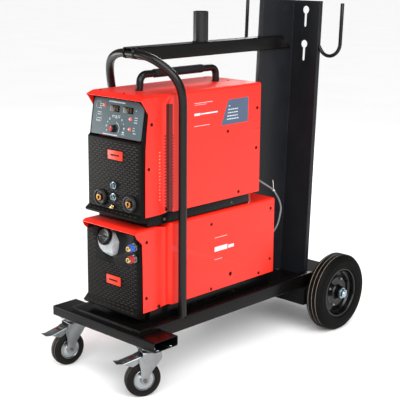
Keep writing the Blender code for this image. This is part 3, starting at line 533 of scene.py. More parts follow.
def powder(name, dark, light, roughness, spread=0.06, peel=0.00006, coat=0.0, specular=0.5):
    """Powder coat: faint cloudy tone, orange peel and uneven gloss."""
    look = Look(name, roughness, specular=specular, coat=coat, coat_roughness=0.22)
    cloud = look.noise(6.0, 4.0, 0.6)
    grain = look.noise(900.0, 2.0, 0.5)
    tone = look.ramp(cloud, [(0.30, dark), (0.70, light)])
    speck = look.ramp(grain, [(0.35, (0.88, 0.88, 0.88, 1.0)), (0.60, (1.0, 1.0, 1.0, 1.0))])
    look.colour(look.mix(1.0, tone, speck, "MULTIPLY"))
    look.rough(look.remap(cloud, 0.2, 0.8, roughness - spread, roughness + spread))
    look.bump(look.noise(420.0, 2.0, 0.5), peel)
    return look.material


def metal(name, dark, light, roughness, stretch=(1.0, 1.0, 1.0), scratch=0.00002, cloud_scale=18.0):
    look = Look(name, roughness, metallic=1.0)
    cloud = look.noise(cloud_scale, 5.0, 0.6)
    fine = look.noise(500.0, 3.0, 0.6, stretch)
    look.colour(look.ramp(cloud, [(0.30, dark), (0.70, light)]))
    look.rough(look.remap(look.math("ADD", cloud, fine), 0.6, 1.4, roughness - 0.08, roughness + 0.12))
    look.bump(fine, scratch)
    return look.material


def moulded(name, dark, light, roughness, grain_scale=1400.0, grain=0.00005, specular=0.5):
    """Moulded plastic or rubber with a fine spark-eroded grain."""
    look = Look(name, roughness, specular=specular)
    cloud = look.noise(9.0, 4.0, 0.6)
    fine = look.noise(grain_scale, 2.0, 0.6)
    look.colour(look.ramp(look.math("ADD", look.math("MULTIPLY", cloud, 0.6), look.math("MULTIPLY", fine, 0.4)),
                          [(0.35, dark), (0.65, light)]))
    look.rough(look.remap(fine, 0.3, 0.7, roughness - 0.07, roughness + 0.07))
    look.bump(fine, grain)
    return look.material


def glow(name, colour, strength):
    look = Look(name, 0.4)
    speck = look.noise(700.0, 1.0)
    look.colour(look.ramp(speck, [(0.3, tuple(c * 0.8 for c in colour[:3]) + (1.0,)), (0.7, colour)]))
    look.shader.inputs["Emission Color"].default_value = colour
    look.shader.inputs["Emission Strength"].default_value = strength
    return look.material


def translucent_plastic(name):
    look = Look(name, 0.32, specular=0.5)
    cloud = look.noise(30.0, 3.0, 0.5)
    look.colour(look.ramp(cloud, [(0.3, srgb(150, 153, 156)), (0.7, srgb(176, 179, 181))]))
    look.shader.inputs["Subsurface Weight"].default_value = 0.25
    look.shader.inputs["Subsurface Scale"].default_value = 0.01
    look.rough(look.remap(cloud, 0.2, 0.8, 0.26, 0.40))
    look.bump(look.noise(260.0, 2.0), 0.00005)
    return look.material


M = {
    "red": powder("paint_orange_red", srgb(228, 30, 13), srgb(236, 37, 18), 0.36, 0.05, 0.00005),
    "black": powder("paint_black_satin", srgb(9, 8, 8), srgb(14, 13, 12), 0.30, 0.05, 0.00008, specular=0.15),
    "black_rail": powder("paint_black_tray", srgb(7, 6, 6), srgb(10, 9, 8), 0.26, 0.05, 0.00008, specular=0.14),
    "tube": powder("paint_tube_graphite", srgb(13, 11, 10), srgb(20, 17, 16), 0.26, 0.04, 0.00005, specular=0.28),
    "bezel": moulded("plastic_bezel", srgb(6, 5, 5), srgb(10, 9, 8), 0.50, specular=0.08),
    "pads": moulded("plastic_bezel_pads", srgb(26, 23, 20), srgb(38, 34, 30), 0.42, specular=0.12),
    "panel": moulded("foil_blue_grey", srgb(70, 82, 86), srgb(78, 91, 95), 0.42, 900.0, 0.00002, specular=0.15),
    "ink_white": moulded("ink_white", srgb(186, 194, 198), srgb(208, 214, 216), 0.5, 900.0, 0.00001, specular=0.2),
    "ink_dark": moulded("ink_dark", srgb(40, 48, 54), srgb(56, 64, 70), 0.5, 900.0, 0.00001),
    "glass": moulded("display_glass", srgb(10, 7, 5), srgb(22, 15, 10), 0.12, 200.0, 0.00001, specular=0.2),
    "segments": glow("display_segments", srgb(110, 78, 52), 0.12),
    "knob": moulded("plastic_knob", srgb(12, 13, 14), srgb(20, 21, 23), 0.38, specular=0.25),
    "red_plastic": moulded("plastic_red", srgb(150, 26, 24), srgb(172, 36, 32), 0.34, 700.0, 0.00002, specular=0.3),
    "button": moulded("plastic_button", srgb(206, 92, 84), srgb(222, 112, 102), 0.36, 700.0, 0.00002, specular=0.3),
    "badge": moulded("badge_orange", srgb(214, 50, 26), srgb(226, 60, 34), 0.36, 700.0, 0.00002, specular=0.2),
    "badge_mark": moulded("badge_mark", srgb(30, 5, 4), srgb(44, 7, 5), 0.5, 700.0, 0.00002, specular=0.1),
    "ring": moulded("plastic_ring_grey", srgb(28, 27, 29), srgb(42, 40, 43), 0.36, specular=0.25),
    "brass": metal("brass_turned", srgb(140, 96, 44), srgb(186, 140, 78), 0.24),
    "brass_pale": metal("brass_pale", srgb(206, 178, 120), srgb(240, 220, 170), 0.24),
    "zinc": metal("zinc_bright", srgb(126, 130, 132), srgb(148, 151, 152), 0.28, cloud_scale=14.0),
    "zinc_blue": metal("zinc_bluish", srgb(120, 140, 152), srgb(190, 204, 212), 0.22, cloud_scale=60.0),
    "steel_dark": metal("steel_dark", srgb(76, 72, 68), srgb(120, 116, 110), 0.34),
    "screw_red": metal("screw_burnished", srgb(40, 18, 14), srgb(84, 40, 30), 0.36),
    "alu": metal("aluminium_mill", srgb(170, 172, 176), srgb(214, 216, 220), 0.32),
    "winding": moulded("varnished_winding", srgb(120, 62, 30), srgb(160, 90, 46), 0.34, 500.0, 0.0002),
    "grip": moulded("rubber_grip", srgb(18, 18, 20), srgb(28, 28, 31), 0.62, 800.0, 0.00012, 0.2),
    "seal": moulded("rubber_seal", srgb(16, 16, 16), srgb(24, 24, 24), 0.7),
    "tyre": moulded("rubber_tyre", srgb(6, 6, 5), srgb(12, 11, 11), 0.62, 500.0, 0.00012, 0.06),
    "caster_rubber": moulded("rubber_caster", srgb(11, 9, 8), srgb(22, 19, 16), 0.55, 700.0, 0.0001, 0.10),
    "tan": moulded("mould_line_tan", srgb(128, 120, 106), srgb(156, 147, 132), 0.7, 500.0, 0.0001, 0.2),
    "rim": powder("rim_black_gloss", srgb(4, 4, 4), srgb(7, 7, 7), 0.20, 0.04, 0.00006, specular=0.3),
    "tank": translucent_plastic("tank_natural"),
    "cap": moulded("plastic_cap", srgb(9, 10, 9), srgb(18, 19, 18), 0.26, 500.0, 0.00003, specular=0.35),
    "blue": moulded("sleeve_blue", srgb(20, 66, 150), srgb(40, 96, 184), 0.28, 400.0, 0.00002),
    "sleeve_red": moulded("sleeve_red", srgb(150, 20, 26), srgb(182, 40, 42), 0.28, 400.0, 0.00002),
    "cable": moulded("cable_grey", srgb(92, 94, 96), srgb(116, 118, 120), 0.5, 600.0, 0.00003),
    "tie": moulded("cable_tie_pale", srgb(196, 198, 190), srgb(220, 220, 214), 0.45),
    "label": moulded("label_slate", srgb(62, 76, 98), srgb(72, 88, 110), 0.42, 300.0, 0.00001),
    # dark red painted shade for the channel steps, also used for the brake pedal stamp
    "shadow": moulded("painted_shade_and_stamp_red", srgb(70, 6, 3), srgb(92, 9, 5), 0.6),
}

# ---------------------------------------------------------------- casings

CASE = 0.1175
WALL = 0.0015
BEND = 0.0065


def groove(fold, deep, step, depth, low, high, fade):
    """Cutter for the bent-in channel of a side wall; with a fade it runs out at its top."""
    bm = bmesh.new()
    sections = [(low, depth)]
    if fade:
        sections += [(high - fade, depth), (high, 0.0002)]
    else:
        sections += [(high, depth)]
    rings = []
    for z, d in sections:
        ring = [(CASE + 0.02, fold), (CASE, fold), (CASE - d, deep), (CASE, step), (CASE + 0.02, step)]
        rings.append([bm.verts.new((x, y, z)) for x, y in ring])
    for a, b in zip(rings, rings[1:]):
        for k in range(len(a)):
            n = (k + 1) % len(a)
            bm.faces.new((a[k], a[n], b[n], b[k]))
    bm.faces.new(rings[0])
    bm.faces.new(rings[-1][::-1])
    return from_bmesh(bm)


def bend_top(obj, top, y_low, y_high):
    """Trim a case blank to the rounded upside-down U of bent sheet."""
    outline = [(-CASE, top - 0.60), (CASE, top - 0.60), (CASE, top), (-CASE, top)]
    rounded = round_corners(outline, [0.0, 0.0, BEND, BEND], 6)
    return boolean(obj, "INTERSECT", [front_prism(rounded, y_low, y_high)])


def case_cover(outline, hollow, top, groove_cutters, groove_walls, rear_hollow, holes):
    shell = side_prism(outline, -CASE, CASE)
    shell = bend_top(shell, top, -0.60, 0.40)
    for cutter in groove_cutters:
        cut(shell, cutter)
    inner = CASE - WALL
    front = side_prism(hollow, -inner, inner)
    inside = [(-inner, top - 0.60), (inner, top - 0.60), (inner, top - WALL), (-inner, top - WALL)]
    rounded = round_corners(inside, [0.0, 0.0, BEND - WALL, BEND - WALL], 6)
    front = boolean(front, "INTERSECT", [front_prism(rounded, -0.70, 0.60)])
    cut(front, *groove_walls)
    cut(shell, front, rear_hollow)
    if holes:
        cut(shell, *holes)
    bevel(shell, 0.0006, 1, 40.0)
    return shell


def screw_head(matrix, radius=0.0052, height=0.0022, finish="steel"):
    """Domed screw head with a cross recess."""
    dome = [(0.0, height)]
    dome += [(radius * math.sin(math.radians(a)), height * math.cos(math.radians(a)) ** 0.7) for a in (20, 40, 58, 72, 84)]
    dome += [(radius, 0.0002), (radius, -0.0006), (0.0, -0.0006)]
    head = lathe(dome, IDENTITY, 20)
    for turn in (0.0, 90.0):
        slot = box((-radius * 0.55, -radius * 0.11, height * 0.45), (radius * 0.55, radius * 0.11, height * 1.5))
        moved(slot, Matrix.Rotation(math.radians(turn + 20.0), 4, "Z"))
        cut(head, slot)
    return moved(head, matrix)


def step_shade_strips(name, low, high, fold, deep, step):
    """Painted shade: dark serrated strips laid on the step at the bottom of the side channels, where the recess lies in
    shadow.
    """
    strips = []
    depth = 0.0120
    near = deep - 0.28 * (deep - fold)
    x_near = CASE - depth * (near - fold) / (deep - fold)
    outline = [(x_near + 0.0004, near), (CASE - depth + 0.0005, deep - 0.0004), (CASE - 0.0008, step - 0.0004), (CASE - 0.0010, step + 0.0008),
               (CASE - depth - 0.0006, deep + 0.0008), (x_near - 0.0006, near)]
    strip = plan_prism(outline[::-1], low, high)
    teeth = []
    for k in range(int((high - low) / 0.0092) - 1):
        z = low + 0.0165 + 0.0092 * k
        if z > 0.745:
            continue
        tip = fold + (deep - fold) * 0.52
        tooth = [(CASE - depth * 0.52 + 0.0003, tip), (x_near + 0.0004, near + 0.0004), (x_near - 0.0010, near + 0.0004),
                 (CASE - depth * 0.52 - 0.0012, tip)]
        teeth.append(plan_prism(tooth[::-1], z - 0.0018, z + 0.0018))
    for side in (1, -1):
        for blank in [strip] + teeth:
            strips.append(mirrored(blank) if side < 0 else link(bpy.data.objects.new("strip", blank.data.copy())))
    for blank in [strip] + teeth:
        bpy.data.objects.remove(blank)
    piece(join(strips), name, ROOT, M["shadow"])


def source_cover():
    outline = [
        (-0.4260, 0.5133), (-0.4257, 0.6260), (-0.4239, 0.7128), (-0.4189, 0.7638), (-0.4132, 0.8110),
        (-0.4231, 0.8268), (-0.4375, 0.8475), (-0.4440, 0.8520), (-0.4165, 0.8635), (0.0730, 0.8635),
        (0.0730, 0.5133),
    ]
    radii = [0.0, 0.05, 0.05, 0.05, 0.012, 0.02, 0.003, 0.012, 0.004, 0.0, 0.0]
    outline = round_corners(outline, radii, 5)[::-1]
    hollow = [(-0.5500, 0.4933), (-0.5500, 0.8042), (-0.4160, 0.8620), (0.0715, 0.8620), (0.0715, 0.4933)]
    channel = groove(-0.3695, -0.3205, -0.3125, 0.0120, 0.49, 0.8590, 0.022)
    twin = mirrored(channel)
    inside = groove(-0.3745, -0.3207, -0.3100, 0.0140, 0.48, 0.8680, 0.022)
    walls = [inside, mirrored(inside)]
    notches = []
    for k in range(24):
        z = 0.5300 + 0.0092 * k
        for side in (1, -1):
            low, high = sorted((side * (CASE - 0.020), side * (CASE + 0.004)))
            if z < 0.745:
                notches.append(box((low, -0.3270, z - 0.0017), (high, -0.3112, z + 0.0017)))
    rear_hollow = box((-0.1030, -0.3900, 0.4933), (0.1030, 0.0715, 0.8500))
    holes = []
    for side in (1, -1):
        low, high = sorted((side * (CASE - 0.004), side * (CASE + 0.004)))
        holes.append(box((low, -0.4300, 0.7163), (high, -0.4000, 0.7172)))
        holes.append(box((low, 0.0430, 0.7193), (high, 0.0760, 0.7202)))
    shell = case_cover(outline, hollow[::-1], 0.8635, [channel, twin], walls, rear_hollow, holes)
    cut(shell, *notches)
    piece(shell, "source_cover_shell", ROOT, M["red"], ["source_cover"], 28.0)
    # painted shade: dark strips along the steps of the side channels
    step_shade_strips("source_step_strips", 0.5135, 0.8330, -0.3695, -0.3205, -0.3125)
    # small louvre dimples along the fold, coloured pale pink as painted highlights
    ticks = []
    for k in range(15):
        z = 0.5580 + 0.0100 * k
        for side in (1, -1):
            tick = box((-0.0030, -0.0014, -0.0006), (0.0030, 0.0014, 0.0014), 0.0006, 2)
            ticks.append(moved(tick, sideward(side * (CASE - 0.0003), -0.3695, z, side) @ Matrix.Rotation(math.radians(90.0), 4, "Z")))
    piece(join(ticks), "source_louvre_highlight_ticks", ROOT, M["louvre"])
    heads = []
    for y, z in ((-0.4009, 0.7820), (-0.4125, 0.6544), (-0.3424, 0.5252), (-0.0787, 0.7255), (0.0574, 0.7845),
                 (0.0554, 0.6576), (-0.0258, 0.5274)):
        for side in (1, -1):
            heads.append(screw_head(sideward(side * CASE, y, z, side)))
    for x, y in ((0.018, -0.4142), (0.016, 0.0301), (-0.085, 0.0301), (-0.085, -0.4142)):
        heads.append(screw_head(upward(x, y, 0.8635), 0.0034, 0.0016))
    piece(join(heads), "source_cover_screws", ROOT, M["screw_red"])


def cooler_cover():
    outline = [
        (-0.4368, 0.2268), (-0.4378, 0.3610), (-0.4400, 0.4378), (-0.4551, 0.4516), (-0.4600, 0.4560),
        (-0.4670, 0.4700), (-0.4540, 0.4791), (0.1530, 0.4791), (0.1530, 0.2268),
    ]
    outline = round_corners(outline, [0.0, 0.05, 0.010, 0.02, 0.01, 0.003, 0.006, 0.004, 0.0], 5)[::-1]
    hollow = [(-0.5500, 0.2068), (-0.5500, 0.4100), (-0.4535, 0.4776), (0.1515, 0.4776), (0.1515, 0.2068)]
    channel = groove(-0.3892, -0.3260, -0.3180, 0.0120, 0.20, 0.50, 0.0)
    over = groove(-0.3892, -0.3260, -0.3180, 0.0120, -0.13, 0.13, 0.0)
    moved(over, Matrix.Translation((0.0, 0.0, 0.4791 - CASE)) @ Matrix.Rotation(math.radians(-90.0), 4, "Y"))
    twin = mirrored(channel)
    inside = groove(-0.3942, -0.3262, -0.3155, 0.0140, 0.19, 0.50, 0.0)
    lid = groove(-0.3942, -0.3262, -0.3155, 0.0140, -0.13, 0.13, 0.0)
    moved(lid, Matrix.Translation((0.0, 0.0, 0.4791 - CASE)) @ Matrix.Rotation(math.radians(-90.0), 4, "Y"))
    walls = [inside, mirrored(inside), lid]
    rear_hollow = box((-0.1030, -0.4050, 0.2068), (0.1030, 0.1515, 0.4640))
    holes = []
    for side in (1, -1):
        low, high = sorted((side * (CASE - 0.004), side * (CASE + 0.004)))
        holes.append(box((low, 0.1250, 0.4363), (high, 0.1600, 0.4372)))
        holes.append(cylinder(0.0070, (low, -0.0580, 0.2648), (high, -0.0580, 0.2648), 24))
    shell = case_cover(outline, hollow[::-1], 0.4791, [channel, twin, over], walls, rear_hollow, holes)
    piece(shell, "cooler_cover_shell", ROOT, M["red"], ["cooler_cover"], 28.0)
    heads = []
    for y, z in ((-0.4221, 0.4403), (-0.4244, 0.2709), (-0.3733, 0.2341), (-0.1487, 0.4434), (-0.1476, 0.2349),
                 (0.1342, 0.4457), (0.1350, 0.2742), (0.0794, 0.2371)):
        for side in (1, -1):
            heads.append(screw_head(sideward(side * CASE, y, z, side)))
    piece(join(heads), "cooler_cover_screws", ROOT, M["screw_red"])


def hexagon_pads(x_low, x_high, z_low, z_high, face, skip, pitch_x=0.0200, pitch_z=0.0070):
    """Rows of staggered elongated hexagons raised from a front face."""
    bm = bmesh.new()
    half_w, half_h, rise = pitch_x * 0.41, pitch_z * 0.33, 0.0009
    rows = int((z_high - z_low) / pitch_z)
    for row in range(rows):
        z = z_low + pitch_z * (row + 0.5)
        start = x_low + (pitch_x / 2.0 if row % 2 else 0.0)
        for col in range(int((x_high - x_low) / pitch_x) + 1):
            x = start + pitch_x * (col + 0.5)
            if x + half_w > x_high or x - half_w < x_low:
                continue
            if any(abs(x - cx) < rx + half_w and abs(z - cz) < rz + half_h for cx, cz, rx, rz in skip):
                continue
            ends = half_w * 0.26
            outer = [(-half_w, 0.0), (-half_w + ends, -half_h), (half_w - ends, -half_h), (half_w, 0.0),
                     (half_w - ends, half_h), (-half_w + ends, half_h)]
            low = [bm.verts.new((x + u, face(z + v) + 0.0004, z + v)) for u, v in outer]
            top = [bm.verts.new((x + u * 0.86, face(z + v * 0.62) - rise, z + v * 0.62)) for u, v in outer]
            for k in range(6):
                n = (k + 1) % 6
                bm.faces.new((low[k], low[n], top[n], top[k]))
            bm.faces.new(top[::-1])
            bm.faces.new(low)
    return from_bmesh(bm)


def badge(name, x_low, x_high, z_low, z_high, y):
    """Plain raised plate with one plain bar across its middle."""
    plate = front_prism(round_corners([(x_low, z_low), (x_high, z_low), (x_high, z_high), (x_low, z_high)], 0.002, 4),
                        y - 0.0022, y + 0.0005, 0.0005, 2)
    piece(plate, name, ROOT, M["badge"])
    middle, inset, half_bar = (z_low + z_high) / 2.0, 0.2 * (x_high - x_low), 0.0024
    low, high = x_low + inset, x_high - inset
    bar = front_prism([(low, middle - half_bar), (high, middle - half_bar), (high, middle + half_bar),
                       (low, middle + half_bar)], y - 0.0026, y - 0.0020)
    piece(bar, name + "_bar", ROOT, M["badge_mark"])


def source_bezel():
    outline = [
        (-0.4180, 0.4941), (-0.4530, 0.5040), (-0.4565, 0.5110), (-0.4411, 0.5213), (-0.4405, 0.7290),
        (-0.4325, 0.7357), (-0.4150, 0.8438), (-0.4050, 0.8470), (-0.4100, 0.4941),
    ]
    outline = round_corners(outline, [0.003, 0.003, 0.0025, 0.003, 0.004, 0.003, 0.002, 0.002, 0.0], 3)
    half = 0.1150
    body = side_prism(outline[::-1], -half, half)
    front_view = [(-half, 0.49), (half, 0.49), (half, 0.7700), (0.1130, 0.8330), (0.0880, 0.8490), (-half, 0.8490)]
    trim = front_prism(round_corners(front_view, [0.012, 0.012, 0.01, 0.012, 0.012, 0.004], 5), -0.50, -0.38)
    boolean(body, "INTERSECT", [trim])
    cut(body, box((-0.1080, -0.4360, 0.5050), (0.1080, -0.3900, 0.8400)))
    bevel(body, 0.0010, 2, 40.0)
    piece(body, "source_bezel_frame", ROOT, M["bezel"], ["source_front_bezel"])
    skip = [(-0.0580, 0.5503, 0.0235, 0.0245), (0.0700, 0.5493, 0.0235, 0.0245), (0.0010, 0.5946, 0.009, 0.011),
            (0.0004, 0.5600, 0.009, 0.011), (-0.0042, 0.5295, 0.006, 0.007), (0.0068, 0.6845, 0.0315, 0.014)]
    pads = hexagon_pads(-0.1120, 0.1120, 0.5125, 0.7285, lambda z: -0.4409 - max(0.0, 0.5213 - z) * 1.45, skip)
    piece(pads, "source_bezel_pads", ROOT, M["pads"], angle=20.0)
    badge("source_badge", -0.0245, 0.0380, 0.6710, 0.6980, -0.4409)


def cooler_bezel():
    outline = [
        (-0.4400, 0.2044), (-0.4660, 0.2190), (-0.4694, 0.2246), (-0.4508, 0.2417), (-0.4505, 0.4430),
        (-0.4440, 0.4560), (-0.4300, 0.4660), (-0.4260, 0.4660), (-0.4260, 0.2044),
    ]
    outline = round_corners(outline, [0.003, 0.003, 0.0025, 0.003, 0.004, 0.004, 0.002, 0.0, 0.0], 3)
    half = 0.1150
    body = side_prism(outline[::-1], -half, half)
    front_view = [(-half, 0.20), (half, 0.20), (half, 0.4250), (0.0950, 0.4680), (-half, 0.4680)]
    trim = front_prism(round_corners(front_view, [0.012, 0.012, 0.02, 0.016, 0.004], 5), -0.50, -0.38)
    boolean(body, "INTERSECT", [trim])
    cut(body, box((-0.1100, -0.4440, 0.2200), (0.1100, -0.4100, 0.4560)))
    window = [(-0.0670, 0.4250), (-0.0570, 0.4020), (-0.0280, 0.3800), (-0.0010, 0.3740), (0.0170, 0.3800), (0.0500, 0.3920), (0.0840, 0.4150),
              (0.0860, 0.4570), (-0.0670, 0.4570)]
    cut(body, front_prism(round_corners(window, 0.006, 4), -0.50, -0.40))
    bevel(body, 0.0010, 2, 40.0)
    piece(body, "cooler_bezel_frame", ROOT, M["bezel"], ["cooler_front_bezel"])
    skip = [(0.0980, 0.4110, 0.0140, 0.0330), (0.0042, 0.3075, 0.0325, 0.0150), (0.0000, 0.4100, 0.0640, 0.0480),
            (0.0600, 0.4300, 0.0300, 0.0400)]
    pads = hexagon_pads(-0.1120, 0.1120, 0.2262, 0.4420, lambda z: -0.4503 - max(0.0, 0.2417 - z) * 1.10, skip)
    piece(pads, "cooler_bezel_pads", ROOT, M["pads"], angle=20.0)
    badge("cooler_badge", -0.0265, 0.0350, 0.2940, 0.3210, -0.4503)
    # sloped dish beside the filler
    dish = side_prism([(-0.4490, 0.3600), (-0.4340, 0.4560), (-0.4300, 0.4560), (-0.4445, 0.3560)][::-1], -0.0690, 0.0900)
    neck_hole = [(-0.0170 + 1.04 * (x + 0.0170), 0.4150 + 1.04 * (z - 0.4150)) for x, z in SPOUT]
    cut(dish, front_prism(round_corners(neck_hole, 0.008, 4), -0.50, -0.38))
    piece(dish, "cooler_filler_dish", ROOT, M["dish"])


def chassis_pans():
    for name, front, rear, bottom, top in (
            ("source_chassis", -0.4095, 0.0370, 0.4794, 0.5130), ("cooler_chassis", -0.4005, 0.1450, 0.1743, 0.2265)):
        pan = box((-0.1075, front, bottom), (0.1075, rear, top), 0.0025, 3)
        cut(pan, box((-0.1050, front + 0.0025, bottom + 0.0025), (0.1050, rear - 0.0025, top + 0.02)))
        vents = []
        for k in range(6):
            y = front + 0.09 + k * 0.055
            if name == "cooler_chassis":
                vents.append(box((-0.12, y, bottom + 0.024), (0.12, y + 0.034, bottom + 0.028), 0.0012, 2))
        if vents:
            cut(pan, *vents)
        piece(pan, name + "_pan", ROOT, M["black_rail"], [name])
    heads = []
    for y in (-0.3400, -0.0450):
        for side in (1, -1):
            heads.append(screw_head(sideward(side * 0.1075, y, 0.4937, side)))
    piece(join(heads), "stacking_base_screws", ROOT, M["steel_dark"])


def rear_panels():
    for name, y, bottom, top, gland_z, fan_z in (
            ("source", 0.0715, 0.5153, 0.8615, 0.5450, 0.7000), ("cooler", 0.1515, 0.2288, 0.4771, 0.3420, 0.3400)):
        half = 0.1157
        plate = front_prism(round_corners([(-half, bottom), (half, bottom), (half, top), (-half, top)],
                                          [0.002, 0.002, 0.005, 0.005], 4), y - 0.0025, y)
        cutters = []
        centre_x = 0.0 if name == "source" else -0.0200
        for ring in range(4):
            inner, outer = 0.014 + ring * 0.014, 0.024 + ring * 0.014
            for k in range(4):
                points = []
                for a in range(9):
                    t = math.radians(90.0 * k + 8.0 + 74.0 * a / 8.0)
                    points.append((centre_x + outer * math.cos(t), fan_z + outer * math.sin(t)))
                for a in reversed(range(9)):
                    t = math.radians(90.0 * k + 8.0 + 74.0 * a / 8.0)
                    points.append((centre_x + inner * math.cos(t), fan_z + inner * math.sin(t)))
                cutters.append(front_prism(points, y - 0.01, y + 0.01))
        cut(plate, *cutters)
        bevel(plate, 0.0005, 1, 40.0)
        piece(plate, name + "_rear_plate", ROOT, M["black"],
              [name + "_rear_panel"])
        motor = lathe([(0.0, 0.0), (0.0165, 0.0), (0.0175, 0.001), (0.0175, 0.0115), (0.0, 0.0115)] if name == "source" else
                      [(0.0, 0.0), (0.0165, 0.0), (0.0175, 0.001), (0.0175, 0.0040), (0.0, 0.0040)],
                      rearward(0.0, 0.0567 if name == "source" else 0.1430, fan_z), 32)
        piece(motor, name + "_fan_motor", ROOT, M["knob"])
        gland = lathe([(0.0, 0.0), (0.0100, 0.0), (0.0100, 0.0030), (0.0080, 0.0034), (0.0080, 0.0085),
                       (0.0072, 0.0095), (0.0062, 0.0118), (0.0034, 0.0120), (0.0034, 0.0060), (0.0, 0.0060)],
                      rearward(0.0850, y, gland_z), 32)
        ribs = []
        for k in range(12):
            rib = box((0.0077, -0.0007, 0.0036), (0.0086, 0.0007, 0.0082), 0.0003, 1)
            moved(rib, Matrix.Rotation(math.radians(30.0 * k), 4, "Z"))
            ribs.append(moved(rib, rearward(0.0850, y, gland_z)))
        piece(join([gland] + ribs), name + "_cable_gland", ROOT, M["knob"])
        heads = []
        for x in (-0.106, 0.106):
            for z in (bottom + 0.010, (bottom + top) / 2.0, top - 0.010):
                heads.append(screw_head(rearward(x, y, z), 0.0034, 0.0018))
        piece(join(heads), name + "_rear_screws", ROOT, M["zinc"])
    # gas inlet and mains inlet gland of the power source
    inlet = lathe([(0.0, 0.0), (0.0085, 0.0), (0.0085, 0.0030), (0.0045, 0.0036), (0.0045, 0.0060), (0.0052, 0.0070),
                   (0.0040, 0.0090), (0.0048, 0.0105), (0.0036, 0.0130), (0.0042, 0.0145), (0.0030, 0.0170), (0.0, 0.0170)],
                  rearward(0.0700, 0.0715, 0.6100), 28)
    piece(inlet, "gas_inlet_barb", ROOT, M["brass"])
    mains = lathe([(0.0, 0.0), (0.0175, 0.0), (0.0175, 0.0040), (0.0145, 0.0045), (0.0145, 0.0110), (0.0130, 0.0130),
                   (0.0085, 0.0150), (0.0085, 0.0060), (0.0, 0.0060)], rearward(-0.0750, 0.0715, 0.5650), 36)
    piece(mains, "mains_inlet_gland", ROOT, M["knob"])


def main_switch():
    at = rearward(-0.0600, 0.0718, 0.8050)
    rose = lathe([(0.0, 0.0), (0.0160, 0.0), (0.0160, 0.0042), (0.0148, 0.0056), (0.0, 0.0060)], at, 40)
    lever = box((-0.0040, -0.0140, 0.0040), (0.0040, 0.0140, 0.0180), 0.0018, 3)
    taper_lever = moved(lever, at)
    mark = box((-0.0007, 0.0060, 0.0178), (0.0007, 0.0120, 0.0182), 0.0001, 1)
    moved(mark, at)
    piece(join([rose, taper_lever]), "main_switch_lever", "switch", M["knob"], ["main_switch"])
    piece(mark, "main_switch_mark", "switch", M["ink_white"])


# ---------------------------------------------------------------- control panel

FOIL = -0.0018


def on_panel(obj):
    return moved(obj, PANEL)


def flat_mark(points, rise=0.0002, hole=None):
    outlines = [points] + ([hole] if hole else [])
    return front_prism(outlines, FOIL - rise, FOIL + 0.00005)


def bar(x, s, width, height):
    return flat_mark([(x - width / 2, s - height / 2), (x + width / 2, s - height / 2),
                      (x + width / 2, s + height / 2), (x - width / 2, s + height / 2)])


